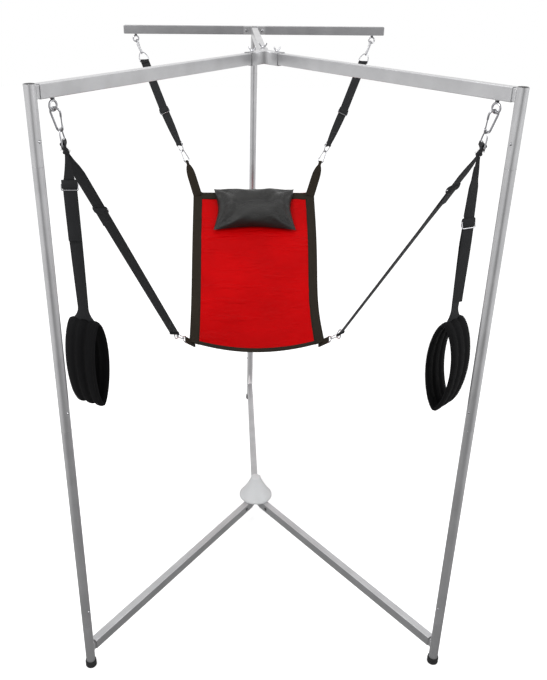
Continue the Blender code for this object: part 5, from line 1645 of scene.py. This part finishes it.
@dataclass
class FrontStraps(HeadStraps):
    """The two front straps: a sewn neck under the ring, the fork and the strap to the seat."""

    roll: float = 0.0058
    neck_turn: float = 82.0
    slack: float = 0.0035
    run_steps: int = 40
    gather: float = 0.014
    turns: dict[Side, tuple[float, float]] = field(
        default_factory=lambda: {Side.LEFT: (80.0, 82.0), Side.RIGHT: (54.0, 39.0)}
    )
    slide_share: dict[Side, float] = field(default_factory=lambda: {Side.LEFT: 0.23, Side.RIGHT: 0.13})

    def build(self, stand: Stand, rig: Rigging, hook: SnapHook) -> None:
        """Build both front straps and the hooks at their ends."""
        for side in Side:
            name = f"snap_hook_front_{side.label}"
            hook.build(stand, name, rig.front_hook(side), 1.0, f"hook_gate_front_{side.label}")
            hook.build(stand, f"snap_hook_seat_corner_{side.label}", rig.corner_hook(side), rig.corner_scale)
            self.strap(stand, rig, side)

    def strap(self, stand: Stand, rig: Rigging, side: Side) -> None:
        """Build one front strap."""
        node = f"front_strap_{side.label}"
        fork, corner = rig.fork(side), rig.strap_end(side)
        ring_top = rig.under_hook(rig.front_hook(side))
        ring_down = (fork - ring_top).normalized()
        bar = ring_top + ring_down * (rig.ring_length - BAR_INSET)
        web, metal = Form(), Form()
        steps = self.steps
        neck = spread(bar, fork, steps + 1)
        turn = math.radians(side.value * self.neck_turn)
        neck_across = [azimuth(turn * i / steps) for i in range(steps + 1)]
        widths = [self.width + (self.gather - self.width) * i / steps for i in range(steps + 1)]
        web.ribbon(neck, neck_across, widths, self.thickness * 1.5)
        self.wrap(web, bar, ring_down, neck_across[0])
        web.wire(self.roll_path(fork), lambda share: self.roll * (1.0 - 0.10 * abs(2 * share - 1) ** 4), 20)
        run = spread(fork, corner, self.run_steps + 1)
        first, last = self.turns[side]
        angles = (side.value * (first + (last - first) * min(1.0, i / 12)) for i in range(len(run)))
        across = [azimuth(math.radians(angle)) for angle in angles]
        grown = self.width - self.gather
        widths = [self.gather + grown * smooth_step(min(1.0, i / 3)) for i in range(len(run))]
        web.ribbon(run, across, widths, self.thickness)
        share = self.slide_share[side]
        index = int(share * self.run_steps)
        way = (fork - corner).normalized()
        normal = turned_to(across[index].cross(way).normalized(), CAMERA_WAY)
        loose = []
        for i in range(4):
            off = self.thickness + 0.0004 + self.slack * smooth_step(i / 7)
            loose.append(run[index + i] + normal * off)
        web.ribbon(loose, across[index:index + 4], self.width * 0.98, self.thickness)
        slide = Slide(drop=0.06, lift=-0.002)
        slide.add(web, metal, fork.lerp(corner, share), way, across[index], self.width)
        ring = DRing()
        ring.add(metal, Link(ring_top, ring_down, azimuth(0.0)), self.ring_width, rig.ring_length)
        ring.add(metal, rig.end_ring(side), self.ring_width, rig.end_ring_length)
        self.wrap(web, corner, way, across[-1])
        stitches = []
        for face in FACES:
            stitches += self.bars(neck, neck_across, 4, 13, face * (self.thickness * 0.8 + STITCH_LIFT))
            stitches += self.bars(run, across, 36, 39, face * (self.thickness / 2 + STITCH_LIFT))
        sew(stand, node, web, metal)
        stand.stitched(f"{node}_stitches", stitches, GREY_THREAD, node)

    def roll_path(self, fork: Vector) -> list[Vector]:
        """Return the line of the rolled webbing that carries the leg loop."""
        reach = self.gather / 2
        return spread(fork - ACROSS * reach, fork + ACROSS * reach, 9)


@dataclass
class LegLoop:
    """A padded leg loop on its plumb strap, with a slide, a loose tail and a sewn gusset."""

    width: float = 0.042
    thickness: float = 0.0026
    top_z: float = 1.410
    half_height: dict[Side, float] = field(default_factory=lambda: {Side.LEFT: 0.1545, Side.RIGHT: 0.162})
    half_width: dict[Side, float] = field(default_factory=lambda: {Side.LEFT: 0.046, Side.RIGHT: 0.053})
    pad: float = 0.016
    band: float = 0.115
    channel: float = 0.0042
    channels: int = 3
    gather: float = 0.010
    turn: dict[Side, float] = field(default_factory=lambda: {Side.LEFT: -62.0, Side.RIGHT: 46.0})
    turns: dict[Side, tuple] = field(default_factory=lambda: {
        Side.LEFT: ((0.0, -90.0), (0.14, -88.0), (0.55, -80.0), (1.0, -62.0)),
        Side.RIGHT: ((0.0, 88.0), (0.14, 50.0), (0.55, 72.0), (1.0, 46.0)),
    })
    below: tuple[float, float, float] = (0.590, -0.800, 0.0)
    strap_start: float = 0.0066
    foot_rise: float = 0.040
    gusset: float = 0.0475
    shrink: float = 0.98
    around: int = 72
    strap_steps: int = 48
    flare_steps: int = 10
    slide_z: dict[Side, float] = field(default_factory=lambda: {Side.LEFT: 1.842, Side.RIGHT: 1.730})
    tail_z: dict[Side, float] = field(default_factory=lambda: {Side.LEFT: 1.670, Side.RIGHT: 1.470})

    def build(self, stand: Stand, rig: Rigging) -> None:
        """Build both leg loops."""
        for side in Side:
            self.loop(stand, rig, side)

    def strap_turn(self, side: Side, share: float) -> float:
        """Return the strap's turn in radians at a share of its length."""
        marks = self.turns[side]
        for (a, first), (b, second) in zip(marks, marks[1:]):
            if share <= b:
                return math.radians(first + (second - first) * (share - a) / (b - a))
        return math.radians(marks[-1][1])

    def section(self) -> Profile:
        """Return the pad's section as (across, thickness) points: rolled channels and sewn grooves."""
        steps = 30
        outer, inner = [], []
        half_band, half_pad = self.band / 2, self.pad / 2
        for i in range(steps + 1):
            share = i / steps
            groove = abs(math.cos(math.pi * self.channels * share)) ** 5
            edge = math.sqrt(max(0.0, 1.0 - abs(2 * share - 1) ** 14))
            height = max((half_pad - self.channel * groove) * edge, half_pad * 0.22)
            outer.append((half_band * (2 * share - 1), height))
            inner.append((half_band * (1 - 2 * share), -height * 0.8))
        return outer + inner

    def ring_at(self, side: Side, angle: float) -> tuple[float, float]:
        """Return a loop's middle line at an angle, as (across, height) from its top."""
        reach = self.half_width[side] - self.pad / 2
        rise = self.half_height[side] - self.pad / 2
        across = reach * bowed(math.sin(angle), 1.35) * (1.0 + 0.08 * math.cos(angle))
        return across, rise * (math.cos(angle) - 1.0)

    def loop(self, stand: Stand, rig: Rigging, side: Side) -> None:
        """Build one leg loop."""
        node = f"stirrup_{side.label}"
        below = rig.at(*self.below, side)
        band = azimuth(math.radians(self.turn[side]))
        spread_way = Vector((band.y, -band.x, 0.0))
        half_band = self.band / 2
        section = self.section()
        groove = self.pad / 2 - self.channel + STITCH_LIFT
        sewn = [(share, sign, sign * groove) for share in (1 / 3, 2 / 3) for sign in (1.0, -0.8)]
        sewn += [(share, 1.0, self.pad * 0.40) for share in (0.045, 0.955)]
        rings, seams = [], [[] for _ in sewn]
        for i in range(self.around):
            angle = math.tau * (i + 0.5) / self.around
            across, height = self.ring_at(side, angle)
            ahead, behind = self.ring_at(side, angle + 0.05), self.ring_at(side, angle - 0.05)
            tangent = Vector((ahead[0] - behind[0], ahead[1] - behind[1])).normalized()
            centre = below + spread_way * across + UP * (self.top_z - self.pad / 2 + height)
            push = spread_way * -tangent.y + UP * tangent.x
            pucker = wave(angle, (0.00045, 23.0, 0.4), (0.0003, 37.0, 1.7))
            pinch = 1.0 - 0.045 * (0.5 - 0.5 * math.cos(angle)) ** 2
            ring = []
            for along, thick in section:
                crown = 1.0 - (abs(along) / half_band) ** 2
                rise = thick + pucker * crown * math.copysign(1.0, thick)
                ring.append(centre + band * (along * pinch) + push * rise)
            rings.append(ring)
            for seam, (share, sign, thick) in zip(seams, sewn):
                place = centre + band * (half_band * (2 * share - 1) * pinch) + push * thick
                seam.append((place, push * math.copysign(1.0, sign)))
        for seam in seams:
            seam.append(seam[0])
        pad = Form().loft(rings, closed=True).piece(f"{node}_pad", PAD, 80.0)
        stand.fit(pad, node)
        stand.stitched(f"{node}_stitches", seams, DARK_THREAD, node)
        self.strap(stand, rig, side, below, band)

    def strap(self, stand: Stand, rig: Rigging, side: Side, below: Vector, band: Vector) -> None:
        """Build a leg loop's strap, gusset, slide and tail."""
        start = rig.fork(side) - UP * self.strap_start
        foot = Vector((below.x, below.y, self.top_z + self.foot_rise))
        steps = self.strap_steps
        points = spread(start, foot, steps + 1)
        across = [azimuth(self.strap_turn(side, i / steps)) for i in range(steps + 1)]
        widths = [self.gather + (self.width - self.gather) * min(1.0, i / 9) ** 1.4 for i in range(steps + 1)]
        last = across[-1]
        for share in (i / self.flare_steps for i in range(1, self.flare_steps + 1)):
            points.append(Vector((below.x, below.y, foot.z - self.gusset * share)))
            across.append(last.lerp(band, share).normalized())
            widths.append(self.width + (self.band * 0.86 - self.width) * share ** 2.2)
        web, metal = Form(), Form()
        web.ribbon(points, across, widths, self.thickness)
        share = (start.z - self.slide_z[side]) / (start.z - foot.z)
        slide, slide_across = start.lerp(foot, share), azimuth(self.strap_turn(side, share))
        Slide().add(web, metal, slide, (start - foot).normalized(), slide_across, self.width)
        normal = turned_to(UP.cross(slide_across), CAMERA_WAY)
        end = start.lerp(foot, (start.z - self.tail_z[side]) / (start.z - foot.z))
        tail = []
        for i, point in enumerate(spread(slide, end, 22)):
            part = i / 21
            off = (self.thickness + 0.0012) * (0.8 + part) + 0.0012 * math.sin(5.0 * part)
            tail.append(point + normal * off)
        web.ribbon(tail, [slide_across] * 22, self.width * self.shrink, self.thickness)
        double = slice(3, int(share * steps))
        back = [point - normal * (self.thickness + STITCH_LIFT) for point in points[double]]
        web.ribbon(back, across[double], [width * self.shrink for width in widths[double]], self.thickness)
        sew(stand, f"stirrup_{side.label}", web, metal)


@dataclass
class Seat:
    """The hung seat: red panel, webbing borders, hanging loops, corner tabs and rings."""

    half_width: float = 0.310
    length: float = 0.8864
    thickness: float = 0.007
    border: float = 0.045
    raise_border: float = 0.0018
    sag: float = 0.060
    tongue: float = 0.022
    fold: float = 0.0045
    binding: float = 0.016
    tab_width: float = 0.034
    tab_root: float = 0.033
    tab_shift: float = 0.004
    loop_narrow: float = 0.014
    loop_web: float = 0.0024
    loop_end: float = 0.88
    panel_half: float = 0.0011
    panel_reach: float = 0.985
    panel_end: float = 0.994
    panel_cells: tuple[int, int] = (72, 96)
    side_steps: int = 60
    cross_steps: int = 40
    inset: float = 0.004
    profile: Profile = (
        (0.0, 0.0), (0.02, 0.55), (0.06, 0.92), (0.25, 1.0),
        (0.5, 1.04), (0.75, 1.0), (0.97, 0.96), (1.0, 0.45),
    )
    waist: dict[Side, float] = field(default_factory=lambda: {Side.LEFT: 0.003, Side.RIGHT: 0.016})

    def depth(self, across: float, along: float) -> float:
        """Return how far the seat hangs below its flat plane."""
        bow = (1.0 - across ** 2) * self.sag
        grow = max(0.0, (along - 0.30) / 0.70)
        fold = self.fold * math.sin(9.0 * along + 3.0 * across) * math.sin(math.pi * min(1.0, grow))
        return bow * grow ** 1.6 + fold * (1.0 - across ** 4)

    def point(self, rig: Rigging, across: float, along: float, lift: float) -> Vector:
        """Return a place on the seat's surface, lifted along its normal."""
        top, down, normal, length = rig.seat_axes()
        reach = length * along + self.tongue * along ** 6 * (1.0 - across ** 2)
        base = top + down * reach - normal * self.depth(across, along)
        side = Side.RIGHT if across > 0.0 else Side.LEFT
        drawn = self.waist[side] * math.sin(math.pi * min(1.0, max(0.0, along)) ** 2.4) ** 1.2
        return base + ACROSS * (across * (self.half_width - drawn)) + normal * lift

    def build(self, stand: Stand, rig: Rigging) -> None:
        """Build the panel and everything sewn to it."""
        panel = self.panel(rig)
        stand.fit(panel, "seat")
        web, metal = Form(), Form()
        self.borders(rig, web)
        for side in Side:
            self.hanging_loop(rig, side, web)
            self.tab(rig, side, web, metal)
        trim = stand.extra(web, "seat_border_webbing", BORDER_WEB, "seat", 55.0)
        rings = stand.extra(metal, "seat_rings", ZINC, "seat", WIRE_ANGLE)
        lines = self.stitch_lines(rig)
        stitches = stand.stitched("seat_stitches", lines, DARK_THREAD, "seat")

    @staticmethod
    def relief(across: float, along: float) -> float:
        """Return the height of the panel's ripples and of the folds pulled in from its sides."""
        ripple = wave(across * 5.0 + along * 2.0, (0.0008, 2.3, 0.5))
        ripple *= wave(along * 11.0, (1.0, 1.0, 0.3), (0.5, 2.7, 1.1))
        phase = 47.0 * along + 15.0 * abs(across) + 1.3 * across + 0.8 * math.sin(9.0 * along)
        crest = (0.5 + 0.5 * math.sin(phase)) ** 4
        pull = 0.0068 * crest * abs(across) ** 2.2 * (1.0 - abs(across) ** 10)
        pull *= 0.5 + 0.5 * math.sin(8.0 * along + 1.6 * across + 0.6)
        return 0.0008 + (ripple + pull) * (1.0 - abs(across) ** 6)

    def panel(self, rig: Rigging) -> bpy.types.Object:
        """Build the red panel as one thin sheet."""
        columns, rows = self.panel_cells
        rings = []
        for j in range(rows + 1):
            along = j / rows
            place = min(along, self.panel_end)
            upper, lower = [], []
            for i in range(columns + 1):
                across = (2.0 * i / columns - 1.0) * self.panel_reach
                lift = self.relief(across, along)
                upper.append(self.point(rig, across, place, lift + self.panel_half))
                lower.append(self.point(rig, across, place, lift - self.panel_half))
            rings.append(upper + lower[::-1])
        return Form().loft(rings).piece("seat_panel", RED, WIRE_ANGLE)

    def down_side(self) -> list[float]:
        """Return the stations down a side, from 0 to 1."""
        return [i / self.side_steps for i in range(self.side_steps + 1)]

    def across_seat(self) -> list[float]:
        """Return the stations across the seat, from -1 to 1."""
        return [2.0 * i / self.cross_steps - 1.0 for i in range(self.cross_steps + 1)]

    def borders(self, rig: Rigging, web: Form) -> None:
        """Add the side, top and bottom borders, each folded round the panel's edge."""
        high, low = self.thickness / 2 + self.raise_border, -self.thickness / 2
        inner = 1.0 - self.border / self.half_width
        for side in Side:
            line = [(side.value, side.value * inner, along, along) for along in self.down_side()]
            self.strip(rig, web, line, high, low)
        for outer, inner in ((0.0, self.border / self.length), (1.0, 1.0 - self.binding / self.length)):
            line = [(share, share, outer, inner) for share in self.across_seat()]
            self.strip(rig, web, line, high - 0.0004, low + 0.0004)

    def strip(
        self,
        rig: Rigging,
        web: Form,
        line: Sequence[tuple[float, float, float, float]],
        high: float,
        low: float,
    ) -> None:
        """Add a folded strip between an outer and an inner line on the seat.

        Args:
            rig: The link chain, which places the seat.
            web: The form that takes the strip.
            line: Stations of (outer across, inner across, outer along, inner along).
            high: The upper face's height above the seat's middle.
            low: The lower face's height.
        """
        folded = [(share, high * rise) for share, rise in self.profile]
        folded += [(share, low * rise - 0.00001) for share, rise in self.profile[::-1]]
        rings = []
        for x0, x1, y0, y1 in line:
            wide, far = x1 - x0, y1 - y0
            rings.append([self.point(rig, x0 + wide * at, y0 + far * at, rise) for at, rise in folded])
        web.loft(rings)

    def hanging_loop(self, rig: Rigging, side: Side, web: Form) -> None:
        """Add the loop that runs from a top corner round the lower hook's wire."""
        top, down, normal, _ = rig.seat_axes()
        hook = rig.low_hook(side)
        end = hook.top + hook.down * rig.loop_bend
        start = top + ACROSS * (side.value * (self.half_width - self.border / 2)) + down * 0.02
        pull = (end - start).normalized()
        out = turned_to(ACROSS.cross(pull).normalized(), normal)
        length = (end - start).length
        bend = rig.loop_bend
        rise = []
        for i in range(15):
            share = self.loop_end * i / 14
            part = min(1.0, max(0.0, (share - 0.46) / 0.42))
            width = self.border * (1.0 - 0.06 * share) + (self.loop_narrow - self.border * 0.94) * part ** 3.2
            rise.append((start + pull * (share * length), width))
        path, widths = [place + out * bend for place, _ in rise], [width for _, width in rise]
        for angle in (math.pi * i / 12 for i in range(13)):
            along = length + bend * math.sin(angle) - bend
            path.append(start + pull * along + out * (bend * math.cos(angle)))
            widths.append(self.loop_narrow)
        path += [place - out * bend for place, _ in rise[::-1]]
        widths += [width for _, width in rise[::-1]]
        web.ribbon(path, [ACROSS] * len(path), widths, self.loop_web)

    def tab(self, rig: Rigging, side: Side, web: Form, metal: Form) -> None:
        """Add a lower corner's folded tab and its ring."""
        corner, pull, across = rig.seat_corner(side)
        start = corner - pull * self.tab_root - ACROSS * (side.value * self.tab_shift)
        end = corner + pull * rig.tab_reach
        web.ribbon(spread(start, end, 9), [across] * 9, self.tab_width, self.thickness)
        DRing().add(metal, Link(rig.tab_bow(side), -pull, across), self.tab_width, rig.tab_ring_length)

    def stitch_lines(self, rig: Rigging) -> list[Facings]:
        """Return the stitch lines along the borders' edges."""
        normal = rig.seat_axes()[2]
        high = self.thickness / 2 + self.raise_border + STITCH_LIFT

        def level(reach: float, along: float) -> Facings:
            """Return a stitch line from side to side."""
            places = (self.point(rig, reach * share, along, high - 0.0003) for share in self.across_seat())
            return [(place, normal) for place in places]

        lines = []
        for inset in (self.inset, self.border - self.inset):
            share = 1.0 - inset / self.half_width
            for side in Side:
                places = (self.point(rig, side.value * share, along, high) for along in self.down_side())
                lines.append([(place, normal) for place in places])
            lines.append(level(0.93, inset / self.length))
        lines.append(level(0.90, 1.0 - (self.binding - self.inset) / self.length))
        return lines


@dataclass
class Pillow:
    """The head pillow: crowned, with pointed corners, drawn-in sides and folds."""

    width: float = 0.410
    height: float = 0.264
    thickness: float = 0.085
    draw: float = 0.022
    middle: float = 0.125
    rests: float = 0.0053
    pucker: float = 0.0013
    crown: float = 0.80
    cells: tuple[int, int] = (80, 52)
    corners: tuple = ((-1.0, -1.0, 0.0), (1.0, -1.0, 0.06), (1.0, 1.0, -0.05), (-1.0, 1.0, 0.09))
    folds: tuple = ((0.30, 1.0), (0.66, -0.8), (0.98, 0.9), (1.28, -0.6))

    def build(self, stand: Stand, rig: Rigging) -> None:
        """Build the pillow."""
        pillow = self.cushion(rig)
        stand.fit(pillow, "pillow")

    def outline(self, u: float, v: float) -> tuple[float, float]:
        """Return the flat place of a (u, v) share, from -1 to 1, with drawn-in sides."""
        x = u * (self.width / 2 - self.draw * (1.0 - abs(v) ** 1.4) * abs(u) ** 3)
        y = v * (self.height / 2 - self.draw * 0.95 * (1.0 - abs(u) ** 1.6) * abs(v) ** 3)
        return x, y

    def crease(self, u: float, v: float) -> float:
        """Return the height of the corner folds and of the long fold across, at a (u, v) share."""
        height = 0.0
        for x, y, turn in self.corners:
            beside, above = 1.0 - u * x, (1.0 - v * y) * 0.62
            reach = math.hypot(beside, above)
            angle = math.atan2(above, beside) + turn + 0.10 * math.sin(5.0 * reach)
            for place, rise in self.folds:
                height += rise * math.exp(-(((angle - place) / 0.11) ** 2)) * reach * math.exp(-2.3 * reach)
        inside = max(0.0, 1.0 - abs(u) ** 3)
        valley = math.exp(-(((v + 0.06 + 0.05 * math.sin(3.0 * u)) / 0.10) ** 2)) * inside
        ridge = math.exp(-(((v - 0.16 - 0.04 * math.sin(4.0 * u)) / 0.12) ** 2)) * inside
        return 0.048 * height - 0.0042 * valley + 0.0022 * ridge

    def cushion(self, rig: Rigging) -> bpy.types.Object:
        """Build the pillow's crowned form with creases that run out to its corners."""
        top, down, normal, _ = rig.seat_axes()
        lift = self.rests + GAP
        edge = 0.0015 + self.thickness * 0.16
        columns, rows = self.cells
        rings = []
        for i in range(columns + 1):
            u = 2.0 * i / columns - 1.0
            upper, lower = [], []
            for j in range(rows + 1):
                v = 2.0 * j / rows - 1.0
                x, y = self.outline(u, v)
                puff = (max(0.0, 1.0 - abs(u) ** 2.6) * max(0.0, 1.0 - abs(v) ** 2.2)) ** 0.62
                crease = self.crease(u, v) * min(1.0, puff * 2.2)
                gather = math.sin(95.0 * x + 2.0) * abs(v) ** 6 + math.sin(110.0 * y + 1.0) * abs(u) ** 6
                gather *= self.pucker * min(1.0, puff * 3.0)
                base = top + down * (self.middle + y) + ACROSS * x
                rise = self.thickness * self.crown * puff
                upper.append(base + normal * (lift + edge + rise + crease + gather))
                lower.append(base + normal * (lift + edge * (1.0 - puff)))
            rings.append(upper + lower[::-1])
        return Form().loft(rings).piece("pillow_cushion", HIDE, 75.0)


# Stage


@dataclass
class Studio:
    """The camera of the photograph, a pale floor and soft lights."""

    camera_place: tuple[float, float, float] = (-0.1331, -3.0659 + HUB_Y, 2.4375)
    focal: float = 779.53
    picture_width: float = 547.0
    shift: float = 0.0521
    yaw: float = 1.387
    pitch: float = 25.941
    roll: float = 0.580
    world_strength: float = 0.50
    sensor: float = 36.0
    floor_half: float = 14.0
    floor_glow: float = 0.62
    mirror_dark: float = 0.22

    def build(self) -> None:
        """Set the camera, the floor, the world and the lights."""
        scene = bpy.context.scene
        scene.view_settings.view_transform = "Standard"
        self.camera()
        self.floor()
        self.world()
        self.lamp("key", (-2.8, -3.2, 4.4), (0.0, -0.1, 1.2), 1.8, 105.0)
        self.lamp("fill", (3.6, -2.2, 3.2), (0.0, 0.0, 1.1), 2.2, 40.0)
        self.lamp("top", (0.0, 0.8, 5.2), (0.0, 0.0, 1.0), 2.6, 45.0)

    def camera(self) -> None:
        """Set the photograph's camera."""
        yaw, pitch, roll = (math.radians(angle) for angle in (self.yaw, self.pitch, self.roll))
        ahead = Vector((math.sin(yaw), math.cos(yaw), 0.0))
        right = Vector((math.cos(yaw), -math.sin(yaw), 0.0))
        forward = ahead * math.cos(pitch) - UP * math.sin(pitch)
        above = UP * math.cos(pitch) + ahead * math.sin(pitch)
        turned = right * math.cos(roll) + above * math.sin(roll)
        upright = above * math.cos(roll) - right * math.sin(roll)
        data = bpy.data.cameras.new("camera")
        data.sensor_fit = "HORIZONTAL"
        data.sensor_width = self.sensor
        data.lens = self.focal * self.sensor / self.picture_width
        data.shift_x = self.shift
        data.clip_end = 200.0
        camera = bpy.data.objects.new("camera", data)
        matrix = Matrix((turned, upright, -forward)).transposed().to_4x4()
        matrix.translation = Vector(self.camera_place)
        camera.matrix_world = matrix
        bpy.context.scene.collection.objects.link(camera)
        bpy.context.scene.camera = camera

    def floor(self) -> None:
        """Lay the pale floor, which shows white to the camera and keeps the shadow."""
        mesh = bpy.data.meshes.new("floor")
        size = self.floor_half
        places = [(-size, -size, 0.0), (size, -size, 0.0), (size, size, 0.0), (-size, size, 0.0)]
        mesh.from_pydata(places, [], [(0, 1, 2, 3)])
        material = bpy.data.materials.new("floor")
        material.use_nodes = True
        shader = material.node_tree.nodes["Principled BSDF"]
        shader.inputs["Base Color"].default_value = (0.86, 0.86, 0.86, 1.0)
        shader.inputs["Roughness"].default_value = 0.9
        graph = Graph(material.node_tree)
        camera, glossy, through = self.rays(graph)
        glow = graph.node("ShaderNodeEmission", inputs={"Strength": (camera + through) * self.floor_glow})
        lit = graph.node("ShaderNodeAddShader", inputs={0: Value(graph, shader.outputs[0]), 1: glow})
        x, y, _ = graph.parts(graph.place())
        away = graph.math("MAXIMUM", graph.math("ABSOLUTE", x), y + 1.5)
        strength = self.dimmed(graph.ramp(away, 0.8, 3.4))
        mirror = graph.node("ShaderNodeEmission", inputs={"Strength": strength})
        both = graph.node("ShaderNodeMixShader", inputs={0: glossy, 1: lit, 2: mirror})
        out = material.node_tree.nodes["Material Output"]
        material.node_tree.links.new(both.socket, out.inputs["Surface"])
        mesh.materials.append(material)
        floor = bpy.data.objects.new("floor", mesh)
        bpy.context.scene.collection.objects.link(floor)

    def dimmed(self, mask: Value) -> Value:
        """Return the strength that a glossy ray sees, from the studio's dark side to its white one."""
        return mask * (1.0 - self.mirror_dark) + self.mirror_dark

    @staticmethod
    def rays(graph: Graph) -> tuple[Value, Value, Value]:
        """Return the masks of camera, glossy and transmission rays."""
        outputs = graph.node("ShaderNodeLightPath").socket.node.outputs
        names = ("Is Camera Ray", "Is Glossy Ray", "Is Transmission Ray")
        return tuple(Value(graph, outputs[name]) for name in names)

    def world(self) -> None:
        """Light the room: white to the camera, and to metal a studio that is dark behind the camera."""
        world = bpy.data.worlds.new("world")
        world.use_nodes = True
        tree = world.node_tree
        graph = Graph(tree)
        camera, glossy, through = self.rays(graph)
        x, y, _ = graph.parts(graph.node("ShaderNodeTexCoord", output="Generated"))
        away = graph.math("MAXIMUM", graph.math("ABSOLUTE", x), y)
        mirror = self.dimmed(graph.ramp(away, 0.0, 0.6))
        shown = camera + through + glossy * mirror
        rest = (1.0 - graph.math("MINIMUM", camera + through + glossy, 1.0)) * self.world_strength
        background = tree.nodes["Background"]
        background.inputs["Color"].default_value = (1.0, 1.0, 1.0, 1.0)
        tree.links.new((shown + rest).socket, background.inputs["Strength"])
        bpy.context.scene.world = world

    @staticmethod
    def lamp(name: str, place: Sequence[float], aim: Sequence[float], size: float, power: float) -> None:
        """Add one soft square lamp."""
        data = bpy.data.lights.new(name, "AREA")
        data.shape = "SQUARE"
        data.size = size
        data.energy = power
        lamp = bpy.data.objects.new(name, data)
        lamp.location = place
        lamp.rotation_euler = (Vector(aim) - Vector(place)).to_track_quat("-Z", "Y").to_euler()
        bpy.context.scene.collection.objects.link(lamp)


def corners(bounds: object) -> list[list[float]]:
    """Return a box's corners as plain lists of numbers."""
    return [[float(value) for value in corner] for corner in bounds]


def main() -> None:
    """Build the stand, its sling and the stage."""
    logging.basicConfig(level=logging.INFO, format="%(name)s: %(message)s")
    stand = Stand.load()
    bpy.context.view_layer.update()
    studio = Studio()
    studio.build()
    rig = Rigging()
    hook = SnapHook()
    TubeFrame().build(stand)
    Foot().build(stand)
    Cover().build(stand)
    WingScrew().build(stand)
    EyeBolts().build(stand, rig)
    HeadStraps().build(stand, rig, hook)
    FrontStraps().build(stand, rig, hook)
    LegLoop().build(stand, rig)
    Seat().build(stand, rig)
    Pillow().build(stand, rig)
    LOG.info("%d pieces", stand.made)


if __name__ == "__main__":
    main()
